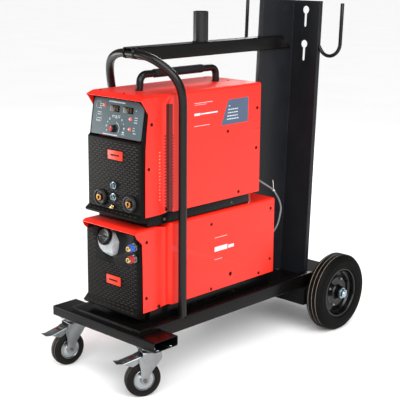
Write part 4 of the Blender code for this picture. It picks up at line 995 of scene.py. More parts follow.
def control_panel():
    outline = [(-0.1085, 0.0010), (0.1075, 0.0010), (0.1075, 0.0930), (0.0830, 0.1085), (-0.1085, 0.1085)]
    rounded = round_corners(outline, [0.005, 0.005, 0.010, 0.010, 0.006], 5)
    foil = front_prism(rounded, FOIL, -0.0003, 0.0004, 2)
    piece(on_panel(foil), "control_foil", ROOT, M["panel"], ["control_panel"])
    marks = []
    rng = random.Random(7)

    def words(x, s, width, height=0.0022):
        left = x
        while left < x + width:
            w = rng.uniform(0.0016, 0.0042)
            marks.append(bar(left + w / 2, s, w, height))
            left += w + 0.0011

    words(-0.0420, 0.1010, 0.0660, 0.0038)
    words(-0.0560, 0.0050, 0.0600, 0.0028)
    for x, s, w in ((-0.0800, 0.0905, 0.012), (-0.0800, 0.0845, 0.010), (-0.0830, 0.0775, 0.010), (-0.0860, 0.0480, 0.016),
                    (-0.0900, 0.0410, 0.016), (-0.0860, 0.0650, 0.014), (-0.0860, 0.0590, 0.010), (0.0730, 0.0640, 0.011),
                    (0.0730, 0.0570, 0.009), (0.0720, 0.0500, 0.010), (0.0700, 0.0340, 0.006), (0.0690, 0.0270, 0.008),
                    (0.0720, 0.0190, 0.009), (0.0250, 0.0170, 0.010), (0.0240, 0.0110, 0.011), (0.0735, 0.0840, 0.006)):
        words(x, s, w, 0.0018)
    knob_x, knob_s = -0.0060, 0.0240
    arc_out, arc_in = [], []
    for k in range(13):
        t = math.radians(-30.0 + 110.0 * k / 12.0)
        arc_out.append((knob_x + 0.0190 * math.cos(t), knob_s + 0.0190 * math.sin(t)))
        arc_in.append((knob_x + 0.0176 * math.cos(t), knob_s + 0.0176 * math.sin(t)))
    marks.append(flat_mark(arc_out + arc_in[::-1]))
    for k in range(11):
        t = math.radians(-20.0 + 220.0 * k / 10.0)
        radius = 0.0330
        x, s = knob_x + radius * 1.15 * math.cos(t), knob_s + 0.004 + radius * math.sin(t)
        if s < 0.012:
            continue
        size = rng.uniform(0.0012, 0.0024)
        ring = circle((x, s), size, 12)
        if k % 3 == 0:
            marks.append(flat_mark(circle((x, s), 0.0028, 16), hole=circle((x, s), 0.0019, 16)[::-1]))
        else:
            marks.append(bar(x, s, size * 2.4, size))
            marks.append(bar(x + size * 0.4, s - size * 1.5, size * 1.6, size * 0.8))
    trace = [(-0.0200, 0.0620), (-0.0135, 0.0620), (-0.0095, 0.0550), (0.0000, 0.0550), (0.0040, 0.0630), (0.0120, 0.0630)]
    for a, b in zip(trace, trace[1:]):
        d = Vector((b[0] - a[0], b[1] - a[1]))
        n = Vector((-d.y, d.x)).normalized() * 0.0005
        marks.append(flat_mark([(a[0] - n.x, a[1] - n.y), (b[0] - n.x, b[1] - n.y), (b[0] + n.x, b[1] + n.y),
                                (a[0] + n.x, a[1] + n.y)]))
    for cx, cs, w, h in ((-0.0800, 0.0525, 0.0210, 0.0280), (-0.0870, 0.0870, 0.018, 0.020)):
        frame_out = round_corners([(cx - w / 2, cs - h / 2), (cx + w / 2, cs - h / 2), (cx + w / 2, cs + h / 2),
                                   (cx - w / 2, cs + h / 2)], 0.002, 3)
        frame_in = round_corners([(cx - w / 2 + 0.0005, cs - h / 2 + 0.0005), (cx + w / 2 - 0.0005, cs - h / 2 + 0.0005),
                                  (cx + w / 2 - 0.0005, cs + h / 2 - 0.0005), (cx - w / 2 + 0.0005, cs + h / 2 - 0.0005)],
                                 0.0016, 3)
        marks.append(flat_mark(frame_out, hole=frame_in[::-1]))
    piece(on_panel(join(marks)), "control_foil_marks", ROOT, M["ink_white"])
    dots = []
    for x, s in ((-0.0690, 0.0620), (-0.0690, 0.0560), (-0.0690, 0.0500), (0.0680, 0.0640), (0.0680, 0.0570),
                 (0.0680, 0.0500), (0.0660, 0.0340), (0.0650, 0.0270), (0.0660, 0.0190), (-0.0350, 0.0460), (-0.0240, 0.0560),
                 (0.0090, 0.0560), (0.0180, 0.0500), (0.0040, 0.0470), (-0.0080, 0.0480), (0.0700, 0.0840)):
        dots.append(moved(lathe([(0.0, 0.0009), (0.0007, 0.0007), (0.0011, 0.0), (0.0011, -0.0004), (0.0, -0.0004)], IDENTITY, 12),
                          outward(x, FOIL, s)))
    piece(on_panel(join(dots)), "control_leds", ROOT, M["ink_dark"])


def displays():
    panes, digits = [], []
    for x_low, x_high in ((-0.0352, 0.0056), (0.0211, 0.0644)):
        s_low, s_high = 0.0728, 0.0914
        pane = front_prism(round_corners([(x_low, s_low), (x_high, s_low), (x_high, s_high), (x_low, s_high)], 0.0012, 3),
                           FOIL - 0.0012, FOIL + 0.0002, 0.0003, 2)
        panes.append(on_panel(pane))
        for k in range(3):
            cx = x_low + (x_high - x_low) * (0.24 + 0.26 * k)
            w, h = 0.0042, 0.0060
            for dx, ds, sw, sh in ((0.0, h, w, 0.0009), (0.0, 0.0, w, 0.0009), (0.0, -h, w, 0.0009), (-w * 0.6, h / 2, 0.0009, h * 0.8),
                                   (w * 0.6, h / 2, 0.0009, h * 0.8), (-w * 0.6, -h / 2, 0.0009, h * 0.8), (w * 0.6, -h / 2, 0.0009, h * 0.8)):
                seg = box((cx + dx - sw / 2, FOIL - 0.00135, 0.0821 + ds - sh / 2), (cx + dx + sw / 2, FOIL - 0.0011, 0.0821 + ds + sh / 2))
                digits.append(on_panel(seg))
    piece(join(panes), "display_panes", ROOT, M["glass"], ["display_window"])
    piece(join(digits), "display_digits", ROOT, M["segments"])


def knob_and_buttons():
    at = PANEL @ outward(-0.0060, -0.0021, 0.0240)
    skirt = lathe([(0.0, 0.0), (0.0113, 0.0), (0.0115, 0.0004), (0.0115, 0.0030), (0.0106, 0.0040), (0.0096, 0.0044),
                   (0.0092, 0.0160), (0.0086, 0.0172), (0.0078, 0.0172), (0.0078, 0.0168), (0.0, 0.0168)], at, 64)
    ribs = []
    for k in range(24):
        rib = box((0.0088, -0.0005, 0.0044), (0.0100, 0.0005, 0.0162), 0.0003, 1)
        ribs.append(moved(rib, at @ Matrix.Rotation(math.radians(15.0 * k), 4, "Z")))
    piece(join([skirt] + ribs), "control_knob_body", "knob", M["knob"], ["control_knob"])
    cap = lathe([(0.0, 0.0182), (0.0040, 0.0181), (0.0066, 0.0177), (0.0075, 0.0171), (0.0076, 0.0160), (0.0, 0.0160)], at, 48)
    line = box((-0.0006, 0.0030, 0.0176), (0.0006, 0.0068, 0.0184), 0.0002, 1)
    piece(cap, "control_knob_cap", "knob", M["red_plastic"])
    piece(moved(line, at), "control_knob_pointer", "knob", M["ink_white"])
    for name, body, x, s in (("mode_button", "button_mode", -0.0593, 0.0875), ("pulse_button", "button_pulse", 0.0557, 0.0584),
                             ("gas_test_button", "button_gas_test", 0.0563, 0.0292)):
        place = PANEL @ outward(x, -0.0021 - 0.0010, s)
        cap = lathe([(0.0, 0.0032), (0.0020, 0.0031), (0.0035, 0.0027), (0.0040, 0.0020), (0.0040, 0.0), (0.0, 0.0)], place, 28)
        piece(cap, name + "_cap", body, M["button"], [name])
        sign = lathe([(0.0, 0.0034), (0.0017, 0.0034), (0.0017, 0.0029), (0.0, 0.0029)], place, 16)
        piece(sign, name + "_sign", body, M["ink_white"])
        ring = lathe([(0.0044, 0.0008), (0.0052, 0.0010), (0.0058, 0.0006), (0.0058, -0.0004), (0.0044, -0.0004)],
                     PANEL @ outward(x, FOIL, s), 28, True)
        piece(ring, name + "_ring", ROOT, M["button"])


# ---------------------------------------------------------------- sockets

def power_socket(name, x, z):
    face = -0.4414
    at = outward(x, face, z)
    collar = lathe([(0.0, 0.0015), (0.0182, 0.0015), (0.0186, 0.0060), (0.0196, 0.0086), (0.0212, 0.0098), (0.0232, 0.0092),
                    (0.0243, 0.0070), (0.0245, 0.0), (0.0, 0.0)], at, 56)
    key = box((-0.0030, 0.0170, 0.0012), (0.0030, 0.0200, 0.0080), 0.0008, 2)
    cut(collar, moved(key, at))
    piece(collar, name + "_collar", ROOT, M["ring"], [name])
    contact = lathe([(0.0, 0.0040), (0.0046, 0.0040), (0.0050, 0.0096), (0.0058, 0.0108), (0.0074, 0.0112), (0.0090, 0.0108),
                     (0.0098, 0.0098), (0.0100, 0.0012), (0.0, 0.0012)], at, 44)
    lip = lathe([(0.0150, 0.0030), (0.0160, 0.0034), (0.0176, 0.0044), (0.0176, 0.0012), (0.0150, 0.0012)], at, 56, True)
    piece(lip, name + "_lip", ROOT, M["lip"])
    slot = box((0.0036, -0.0016, 0.0060), (0.0076, 0.0016, 0.0150))
    cut(contact, moved(slot, at @ Matrix.Rotation(math.radians(35.0), 4, "Z")))
    piece(contact, name + "_contact", ROOT, M["brass"])
    pin = lathe([(0.0, 0.0075), (0.0018, 0.0073), (0.0026, 0.0062), (0.0026, 0.0030), (0.0, 0.0030)], at, 24)
    piece(pin, name + "_pin", ROOT, M["brass"])


def round_socket(name, x, z):
    at = outward(x, -0.4414, z)
    shell = lathe([(0.0, 0.0040), (0.0056, 0.0040), (0.0058, 0.0096), (0.0070, 0.0103), (0.0080, 0.0098), (0.0082, 0.0036),
                   (0.0092, 0.0032), (0.0105, 0.0028), (0.0105, 0.0), (0.0, 0.0)], at, 40)
    ribs = []
    for k in range(20):
        rib = box((0.0078, -0.0005, 0.0040), (0.0087, 0.0005, 0.0090), 0.0002, 1)
        ribs.append(moved(rib, at @ Matrix.Rotation(math.radians(18.0 * k), 4, "Z")))
    pins = []
    for k in range(5):
        t = math.radians(72.0 * k + 18.0)
        pins.append(moved(lathe([(0.0, 0.0085), (0.0006, 0.0082), (0.0008, 0.0040), (0.0, 0.0040)], IDENTITY, 10),
                          at @ Matrix.Translation((0.0033 * math.cos(t), 0.0033 * math.sin(t), 0.0))))
    piece(join([shell] + ribs), name + "_shell", ROOT, M["zinc_blue"], [name])
    piece(join(pins), name + "_pins", ROOT, M["brass"])


def gas_outlet():
    at = outward(-0.0042, -0.4414, 0.5295)
    hexagon = [(0.0066 * math.cos(math.radians(60 * k)), 0.0066 * math.sin(math.radians(60 * k))) for k in range(6)]
    nut = plan_prism(hexagon, 0.0006, 0.0052, 0.0005, 2)
    stem = lathe([(0.0, 0.0158), (0.0018, 0.0158), (0.0022, 0.0155), (0.0048, 0.0118), (0.0048, 0.0106), (0.0036, 0.0100),
                  (0.0036, 0.0086), (0.0050, 0.0078), (0.0050, 0.0060), (0.0046, 0.0050), (0.0, 0.0050)], IDENTITY, 28)
    bore = cylinder(0.0016, (0.0, 0.0, 0.0100), (0.0, 0.0, 0.0200), 16)
    cut(stem, bore)
    piece(moved(join([nut, stem]), at), "gas_outlet_nipple", ROOT, M["brass_pale"], ["gas_outlet"])


# ---------------------------------------------------------------- carry handle

def carry_handle():
    route = [(0.0, -0.3380, 0.8638), (0.0, -0.3340, 0.9090), (0.0, -0.1700, 0.9090), (0.0, -0.0112, 0.9085), (0.0, -0.0095, 0.8638)]
    body = tube(filleted(route, 0.0275, 12), 0.0110, 28)
    piece(body, "carry_handle_tube", ROOT, M["tube"], ["carry_handle"])
    collars = []
    for y in (-0.3380, -0.0095):
        foot = lathe([(0.0105, 0.0), (0.0138, 0.0), (0.0138, 0.0012), (0.0126, 0.0020), (0.0105, 0.0022)], upward(0.0, y, 0.8635), 32, True)
        collars.append(foot)
    piece(join(collars), "carry_handle_feet", ROOT, M["black"])
    profile = []
    length, count = 0.2080, 42
    profile.append((0.0108, 0.0))
    profile.append((0.0122, 0.0))
    for k in range(count):
        h = 0.004 + (length - 0.008) * k / (count - 1)
        profile.append((0.0133 if k % 2 else 0.0127, h))
    profile += [(0.0122, length), (0.0108, length)]
    piece(lathe(profile, outward(0.0, -0.0725, 0.9088), 32, True), "handle_grip_sleeve", ROOT, M["grip"],
          ["handle_grip"], 60.0)


# ---------------------------------------------------------------- cooler front

SPOUT = [(-0.0320, 0.4490), (-0.0480, 0.4340), (-0.0500, 0.4220), (-0.0420, 0.4030), (-0.0200, 0.3855), (0.0000, 0.3805), (0.0130, 0.3880),
         (0.0165, 0.4060), (0.0155, 0.4260), (-0.0060, 0.4490)]


def tank_and_cap():
    low, high = Vector((-0.0950, -0.3950, 0.1768)), Vector((0.0600, -0.2400, 0.4450))
    tank = box(low, high, 0.008, 3)
    outline = [(-0.3930, 0.3640), (-0.4440, 0.3700), (-0.4640, 0.3930), (-0.4649, 0.4180), (-0.4471, 0.4550), (-0.4300, 0.4560),
               (-0.3930, 0.4440)]
    neck = side_prism(round_corners(outline, [0.0, 0.02, 0.012, 0.004, 0.003, 0.004, 0.0], 5)[::-1], -0.0500, 0.0160)
    trim = front_prism(round_corners(SPOUT, 0.008, 4), -0.50, -0.38)
    boolean(neck, "INTERSECT", [trim])
    bevel(neck, 0.0035, 3, 40.0)
    fuse(tank, neck)
    axis = Vector((0.0, -math.sin(math.radians(65.0)), math.cos(math.radians(65.0))))
    cut(tank, cylinder(0.0095, CAP_SEAT + axis * 0.01, CAP_SEAT - axis * 0.030, 32))
    piece(tank, "coolant_tank_shell", ROOT, M["tank"], ["coolant_tank"], 40.0)
    collar = lathe([(0.0100, -0.0004), (0.0190, -0.0004), (0.0190, 0.0010), (0.0175, 0.0020), (0.0100, 0.0020)], CAP, 40, True)
    piece(collar, "filler_cap_seal", "cap_thread", M["seal"], ["cap_seal"])
    base, top = 0.0026, 0.0172
    cap = lathe([(0.0, top - 0.0010), (0.0130, top - 0.0008), (0.0170, top - 0.0002), (0.0210, top + 0.0002), (0.0232, top - 0.0014),
                 (0.0242, top - 0.0046), (0.0246, base + 0.0004), (0.0240, base), (0.0, base)], CAP, 64)
    ribs = []
    for k in range(36):
        rib = box((0.0238, -0.0009, base + 0.0004), (0.0251, 0.0009, top - 0.0042), 0.0005, 2)
        ribs.append(moved(rib, CAP @ Matrix.Rotation(math.radians(10.0 * k), 4, "Z")))
    ring = lathe([(0.0120, top - 0.0010), (0.0132, top + 0.0002), (0.0142, top - 0.0006), (0.0132, top - 0.0016)], CAP, 48, True)
    grip = box((-0.0170, -0.0026, top - 0.0020), (0.0170, 0.0026, top + 0.0026), 0.0016, 3)
    piece(join([cap, ring, moved(grip, CAP)] + ribs), "filler_cap_top", "cap", M["cap"], ["filler_cap"])


def couplers():
    for colour, z, finish in (("blue", 0.4280, "blue"), ("red", 0.3940, "sleeve_red")):
        at = outward(0.0980, -0.4508, z)
        hexagon = [(0.0132 * math.cos(math.radians(60 * k + 30)), 0.0132 * math.sin(math.radians(60 * k + 30))) for k in range(6)]
        nut = plan_prism(hexagon, 0.0, 0.0036, 0.0006, 2)
        flange = lathe([(0.0, 0.0034), (0.0110, 0.0034), (0.0114, 0.0038), (0.0108, 0.0042), (0.0070, 0.0043), (0.0070, 0.0102), (0.0, 0.0102)],
                       IDENTITY, 36)
        piece(moved(join([nut, flange]), at), "coupler_" + colour + "_base", ROOT, M["zinc"])
        stem = lathe([(0.0, 0.0190), (0.0042, 0.0190), (0.0042, 0.0292), (0.0066, 0.0292), (0.0078, 0.0284), (0.0082, 0.0266),
                      (0.0082, 0.0240), (0.0070, 0.0228), (0.0070, 0.0090), (0.0, 0.0090)], IDENTITY, 36)
        piece(moved(stem, at), "coupler_" + colour + "_stem", ROOT, M["brass_pale"], ["coupler_" + colour])
        sleeve = lathe([(0.0076, 0.0098), (0.0104, 0.0098), (0.0112, 0.0102), (0.0112, 0.0108), (0.0106, 0.0114), (0.0106, 0.0186),
                        (0.0112, 0.0192), (0.0112, 0.0206), (0.0102, 0.0214), (0.0076, 0.0214)], at, 40, True)
        ribs = []
        for k in range(18):
            rib = box((0.0102, -0.0006, 0.0116), (0.0111, 0.0006, 0.0184), 0.0003, 1)
            ribs.append(moved(rib, at @ Matrix.Rotation(math.radians(20.0 * k), 4, "Z")))
        piece(join([sleeve] + ribs), "coupler_" + colour + "_sleeve", "sleeve_" + colour, M[finish],
              ["coupler_sleeve_" + colour])


# ---------------------------------------------------------------- side prints

def side_mark(points, x=CASE, rise=0.00025):
    return side_prism([points], x - 0.0001, x + rise)


def side_label():
    corners = [(-0.1094, 0.7464), (0.0131, 0.7472), (0.0144, 0.8239), (-0.0788, 0.8228)]
    rounded = round_corners(corners, 0.0015, 3)
    for side in (1, -1):
        label = side_mark(rounded)
        if side < 0:
            moved(label, Matrix.Translation((0.0, -0.045 * 2, 0.0)) @ Matrix.Scale(-1.0, 4, Vector((1.0, 0.0, 0.0))))
            moved(label, Matrix.Translation((0.0, 0.045 * 2, 0.0)))
        piece(label, "side_label_" + ("right" if side > 0 else "left"), ROOT, M["label"])
    bars = []
    rng = random.Random(3)
    for side in (1, -1):
        x = side * CASE

        def strip(y, z, width, height):
            low, high = sorted((x - side * 0.0001, x + side * 0.0004))
            bars.append(box((low, y, z), (high, y + width, z + height)))
        for row, z in enumerate((0.8020, 0.7910, 0.7810, 0.7710, 0.7615)):
            y = -0.0760 + row * 0.0008 - (0.8020 - z) * 0.28
            for k in range(5 if row else 1):
                width = rng.uniform(0.004, 0.011)
                strip(y, z, width, 0.0030)
                y += width + 0.0022
        # plain decorative stripes where the side carries printing
        strip(-0.2270, 0.8245, 0.0780, 0.0012)
        strip(-0.2270, 0.8195, 0.0520, 0.0008)
        strip(-0.2270, 0.7880, 0.0260, 0.0070)
        strip(-0.1980, 0.7895, 0.0720, 0.0040)
        strip(-0.2270, 0.7560, 0.0660, 0.0012)
        # cooler
        strip(-0.1330, 0.3960, 0.0560, 0.0012)
        strip(-0.1330, 0.3520, 0.0580, 0.0150)
        strip(-0.0700, 0.3530, 0.0260, 0.0100)
        strip(-0.1330, 0.3260, 0.0350, 0.0012)
    piece(join(bars), "side_print_bars", ROOT, M["ink_white"])


# ---------------------------------------------------------------- link cable

CABLE_RADIUS = 0.0030
CABLE_ROUTE = (
    (0.0850, 0.0843, 0.5450), (0.0850, 0.0920, 0.5450), (0.0870, 0.1100, 0.5370), (0.0940, 0.1420, 0.5165),
    (0.0980, 0.1690, 0.4980), (0.1000, 0.1860, 0.4770), (0.1000, 0.2010, 0.4546), (0.1000, 0.2085, 0.4307),
    (0.0980, 0.2070, 0.4078), (0.0940, 0.2010, 0.3760), (0.0880, 0.1880, 0.3520), (0.0850, 0.1720, 0.3420),
    (0.0850, 0.1646, 0.3420),
)


def link_cable():
    route = smooth_route(CABLE_ROUTE, 6)
    cable = tube(route, CABLE_RADIUS, 14)
    tie_at = route[24]
    ahead = (route[25] - route[23]).normalized()
    turn = Vector((0.0, 0.0, 1.0)).rotation_difference(ahead).to_matrix().to_4x4()
    band = lathe([(0.0031, -0.0013), (0.0038, -0.0013), (0.0038, 0.0013), (0.0031, 0.0013)], Matrix.Translation(tie_at) @ turn, 24, True)
    head = box((0.0030, -0.0020, -0.0020), (0.0062, 0.0020, 0.0020), 0.0005, 2)
    moved(head, Matrix.Translation(tie_at) @ turn)
    tail_route = [tie_at + Vector((0.0005, 0.0, 0.0045)), tie_at + Vector((0.0010, -0.0015, 0.018)), tie_at + Vector((0.0005, -0.0035, 0.034))]
    tail = tube(smooth_route(tail_route, 4), 0.0009, 8)
    tie = piece(join([band, head, tail]), "cable_tie", ROOT, M["tie"])
    piece(cable, "link_cable_jacket", ROOT, M["cable"], ["link_cable"], 60.0)


# ---------------------------------------------------------------- trolley

def weld_bead(points, radius=0.0022, seed=1):
    """A rippled fillet of weld metal along a line."""
    rng = random.Random(seed)
    points = [Vector(p) for p in points]
    dense = []
    for a, b in zip(points, points[1:]):
        steps = max(2, int((b - a).length / 0.0022))
        dense += [a.lerp(b, k / steps) for k in range(steps)]
    dense.append(points[-1])
    radii = [radius * (0.82 + 0.22 * ((i % 2) * 0.6 + rng.random() * 0.6)) for i in range(len(dense))]
    return tube(dense, radii, 8)


def front_beam():
    outer = round_corners([(-0.4995, 0.1510), (-0.4045, 0.1510), (-0.4045, 0.1820), (-0.4995, 0.1820)], 0.0045, 5)
    inner = round_corners([(-0.4968, 0.1537), (-0.4072, 0.1537), (-0.4072, 0.1793), (-0.4968, 0.1793)], 0.0030, 5)
    beam = side_prism([outer, inner[::-1]], -0.2280, 0.2280)
    bevel(beam, 0.0005, 1, 50.0)
    piece(beam, "front_beam_tube", ROOT, M["black_rail"], ["front_cross_beam"])
    seam = weld_bead([(-0.2270, -0.4400, 0.1541), (0.2270, -0.4400, 0.1541)], 0.0011, 5)
    piece(seam, "front_beam_seam", ROOT, M["steel_dark"])
    streaks = []
    for side in (1, -1):
        x = side * 0.2262
        streaks.append(weld_bead([(x, -0.4950, 0.1548), (x - side * 0.003, -0.4860, 0.1546), (x, -0.4790, 0.1550)], 0.0014, 41))
        streaks.append(weld_bead([(x, -0.4400, 0.1546), (x - side * 0.004, -0.4340, 0.1560), (x, -0.4280, 0.1546)], 0.0012, 42))
        streaks.append(weld_bead([(x, -0.4960, 0.1600), (x, -0.4958, 0.1680)], 0.0012, 43))
    piece(join(streaks), "front_beam_end_welds", ROOT, M["zinc_blue"])


def side_rails():
    for name, side in (("right", 1), ("left", -1)):
        low, high = sorted((side * 0.1235, side * 0.1535))
        rail = front_prism([round_corners([(low, 0.1510), (high, 0.1510), (high, 0.1940), (low, 0.1940)], 0.0035, 4),
                            round_corners([(low + 0.0025, 0.1535), (high - 0.0025, 0.1535), (high - 0.0025, 0.1915), (low + 0.0025, 0.1915)], 0.0020, 4)[::-1]],
                           -0.4835, 0.3228)
        notch = box((low - 0.01, -0.50, 0.14), (high + 0.01, -0.4042, 0.1823))
        cut(rail, notch)
        plug = front_prism(round_corners([(low + 0.0006, 0.1823), (high - 0.0006, 0.1823), (high - 0.0006, 0.1934), (low + 0.0006, 0.1934)], 0.0012, 2),
                           -0.4828, -0.4800)
        bevel(rail, 0.0005, 1, 50.0)
        piece(join([rail, plug]), "side_rail_" + name + "_tube", ROOT, M["black_rail"], ["side_rail_" + name])
        x = side * 0.1535
        bead = weld_bead([(x, -0.4800, 0.1826), (x, -0.4080, 0.1826)], 0.0016, 11)
        second = weld_bead([(side * 0.1515, 0.3236, 0.1530), (side * 0.1515, 0.3236, 0.1900)], 0.0018, 12)
        piece(join([bead, second]), "side_rail_" + name + "_welds", ROOT, M["black"])


def floor_and_platform():
    low, high = -0.1232, 0.1232
    outline = [(-0.4835, 0.1823), (-0.4835, 0.1940), (-0.4012, 0.1940), (-0.4012, 0.1740), (0.3228, 0.1740), (0.3228, 0.1710),
               (-0.4042, 0.1710), (-0.4042, 0.1910), (-0.4805, 0.1910), (-0.4805, 0.1823)]
    radii = [0.0, 0.004, 0.003, 0.003, 0.0, 0.0, 0.002, 0.002, 0.002, 0.0]
    floor = side_prism(round_corners(outline, radii, 3)[::-1], low, high)
    piece(floor, "floor_sheet", ROOT, M["black_rail"], ["floor_plate"])
    body = box((-0.1700, 0.2565, 0.0925), (0.1700, 0.5545, 0.1507), 0.0045, 4)
    cut(body, box((-0.1675, 0.2590, 0.0800), (0.1675, 0.5520, 0.1482)),
        cylinder(0.0103, (-0.20, 0.3663, 0.1310), (0.20, 0.3663, 0.1310), 32),
        box((-0.20, 0.20, 0.0800), (0.20, 0.60, 0.0925)))
    bevel(body, 0.0004, 1, 50.0)
    piece(body, "bottle_platform_box", ROOT, M["deck"], ["bottle_platform"])
    bosses = []
    for side in (1, -1):
        bosses.append(lathe([(0.0106, 0.0), (0.0160, 0.0), (0.0155, 0.0080), (0.0106, 0.0085)], sideward(side * 0.1702, 0.3663, 0.1310, side), 32, True))
    piece(join(bosses), "axle_spacers", ROOT, M["black"])


def column():
    half, web = 0.118, 0.0095
    outline = [(web, -0.170), (web, 0.0), (half, 0.0), (half, 0.015), (half - 0.003, 0.015), (half - 0.003, 0.003),
               (web - 0.0025, 0.003), (web - 0.0025, -0.1675)]
    radii = [0.0032, 0.0010, 0.0035, 0.0, 0.0, 0.0008, 0.0030, 0.0010]
    mirror = [(-x, y) for x, y in reversed(outline)]
    full = round_corners(outline + mirror, radii + radii[::-1], 4)
    post = plan_prism(full, 0.0, 0.955, 0.0, 2)
    cut(post, box((-0.05, -0.19, -0.02), (0.05, -0.0003, 0.0228)))
    for vertex in post.data.vertices:
        if vertex.co.y < -0.10:
            vertex.co.y += 0.0130 * min(1.0, max(0.0, vertex.co.z / 0.955))
    cutters = []
    for side in (1, -1):
        for height in (0.9244, 0.8120):
            x = side * 0.061
            slot_bottom = height - 0.0555
            shape = []
            for k in range(25):
                t = math.radians(-67.0 + (360.0 - 46.0) * k / 24.0)
                shape.append((x + 0.0130 * math.cos(t), height + 0.0130 * math.sin(t)))
            left = [(x - 0.0050, slot_bottom + 0.005)]
            shape += left
            for k in range(9):
                t = math.radians(180.0 + 180.0 * k / 8.0)
                shape.append((x + 0.0050 * math.cos(t), slot_bottom + 0.005 + 0.0050 * math.sin(t)))
            cutters.append(front_prism(shape, -0.02, 0.02))
    cut(post, *cutters)
    bevel(post, 0.0004, 1, 50.0)
    piece(moved(post, COLUMN), "column_sheet", ROOT, M["column"], ["column"])
    foot = []
    for side in (1, -1):
        foot.append(weld_bead([(side * 0.1150, 0.3210, 0.1523), (side * 0.0200, 0.3210, 0.1523)], 0.0018, 21))
    piece(join(foot), "column_foot_welds", ROOT, M["black"])


def boom_arm():
    low, high = (-0.0200, 0.9488), (0.0200, 0.9917)
    outer = round_corners([(low[0], low[1]), (high[0], low[1]), (high[0], high[1]), (low[0], high[1])], 0.0040, 4)
    inner = round_corners([(low[0] + 0.0025, low[1] + 0.0025), (high[0] - 0.0025, low[1] + 0.0025), (high[0] - 0.0025, high[1] - 0.0025),
                           (low[0] + 0.0025, high[1] - 0.0025)], 0.0020, 4)
    arm = front_prism([outer, inner[::-1]], -0.3835, 0.3423)
    web_front = 0.1844
    slot = box((-0.0098, web_front - 0.0013, 0.92), (0.0098, 0.40, 1.02))
    slant = side_prism([(0.3423, 0.9488), (0.37, 0.9488), (0.37, 1.02), (0.2940, 1.02), (0.2940, 0.9917)][::-1], -0.04, 0.04)
    taper = side_prism([(-0.41, 0.93), (-0.3125, 0.93), (-0.3125, 0.9488), (-0.41, 0.9658)][::-1], -0.04, 0.04)
    top = hoop_point(0.0, HOOP_REACH)
    bore = cylinder(0.0128, (-0.03, top.y, top.z), (0.03, top.y, top.z), 40)
    cut(arm, slot, slant, taper, bore)
    bevel(arm, 0.0005, 1, 50.0)
    piece(arm, "boom_arm_tube", ROOT, M["black"], ["boom_arm"])
    beads = [lathe([(0.0128, 0.0), (0.0158, 0.0), (0.0150, 0.0014), (0.0128, 0.0024)], sideward(side * 0.0200, top.y, top.z, side), 32, True)
             for side in (1, -1)]
    piece(join(beads), "boom_arm_hoop_welds", ROOT, M["tube"])
    ring = circle((0.0, -0.0795), 0.0244, 40)
    bead = weld_bead([(x, y, 0.9922) for x, y in ring] + [(ring[0][0], ring[0][1], 0.9922)], 0.0015, 31)
    piece(bead, "boom_socket_weld", ROOT, M["black"])


HOOP_X, HOOP_Y, HOOP_Z = 0.1515, -0.3090, 0.8835
HOOP_LEAN, HOOP_SPAN, HOOP_REACH, HOOP_BEND = math.radians(34.4), 0.0600, 0.1051, 0.1290


def hoop_point(x, along):
    """A point of the push handle, measured along it from the middle of its forward bend."""
    bent = min(max(along, -HOOP_SPAN), HOOP_SPAN)
    radius, turned = 2.0 * HOOP_SPAN / HOOP_LEAN, HOOP_LEAN * (bent + HOOP_SPAN) / (2.0 * HOOP_SPAN)
    beyond = along - bent
    forward = radius * (1.0 - math.cos(turned)) + beyond * math.sin(turned)
    height = radius * math.sin(turned) - HOOP_SPAN + beyond * math.cos(turned)
    return Vector((x, HOOP_Y - forward, HOOP_Z + height))


def push_handle():
    side = HOOP_REACH - HOOP_BEND
    points = [Vector((HOOP_X, HOOP_Y, 0.1943)), Vector((HOOP_X, HOOP_Y, 0.50))]
    points += [hoop_point(HOOP_X, -HOOP_SPAN + (side + HOOP_SPAN) * k / 5.0) for k in range(5)]
    for k in range(25):
        t = math.radians(90.0 * k / 24.0)
        points.append(hoop_point(HOOP_X - HOOP_BEND + HOOP_BEND * math.cos(t), side + HOOP_BEND * math.sin(t)))
    left = [Vector((-p.x, p.y, p.z)) for p in reversed(points)]
    hoop = tube(points + left, 0.0125, 28)
    piece(hoop, "push_handle_tube", ROOT, M["tube"], ["push_handle"])
    beads = []
    for side in (1, -1):
        beads.append(lathe([(0.0126, 0.0), (0.0150, 0.0), (0.0142, 0.0016), (0.0126, 0.0026)], upward(side * HOOP_X, HOOP_Y, 0.1942), 28, True))
    piece(join(beads), "push_handle_foot_welds", ROOT, M["black"])


def boom_socket():
    at = upward(0.0, -0.0795, 0.0)
    profile = [(0.0233, 0.9920), (0.0233, 1.0836), (0.0227, 1.0842), (0.0209, 1.0842), (0.0203, 1.0836), (0.0203, 0.9920)]
    piece(lathe(profile, at, 56, True), "boom_socket_tube", ROOT, M["socket_steel"], ["boom_socket"])


def torch_hooks():
    centre_x, centre_z, radius, tip = 0.1607, 0.8205, 0.0420, 0.9506
    for name, side in (("right", 1), ("left", -1)):
        points = [Vector((0.1184, 0.0075, centre_z + radius * math.sin(math.radians(217)) + 0.0120))]
        for k in range(19):
            t = math.radians(217.0 + 143.0 * k / 18.0)
            points.append(Vector((centre_x + radius * math.cos(t), 0.0075, centre_z + radius * math.sin(t))))
        points += [Vector((centre_x + radius, 0.0075, centre_z + 0.05)), Vector((centre_x + radius, 0.0075, tip))]
        points = [Vector((side * p.x, p.y, p.z)) for p in points]
        hook = tube(points, 0.0060, 20, rounded=0.0008)
        piece(moved(hook, COLUMN), "torch_hook_" + name + "_rod", ROOT, M["tube"], ["torch_hook_" + name])


# ---------------------------------------------------------------- wheels

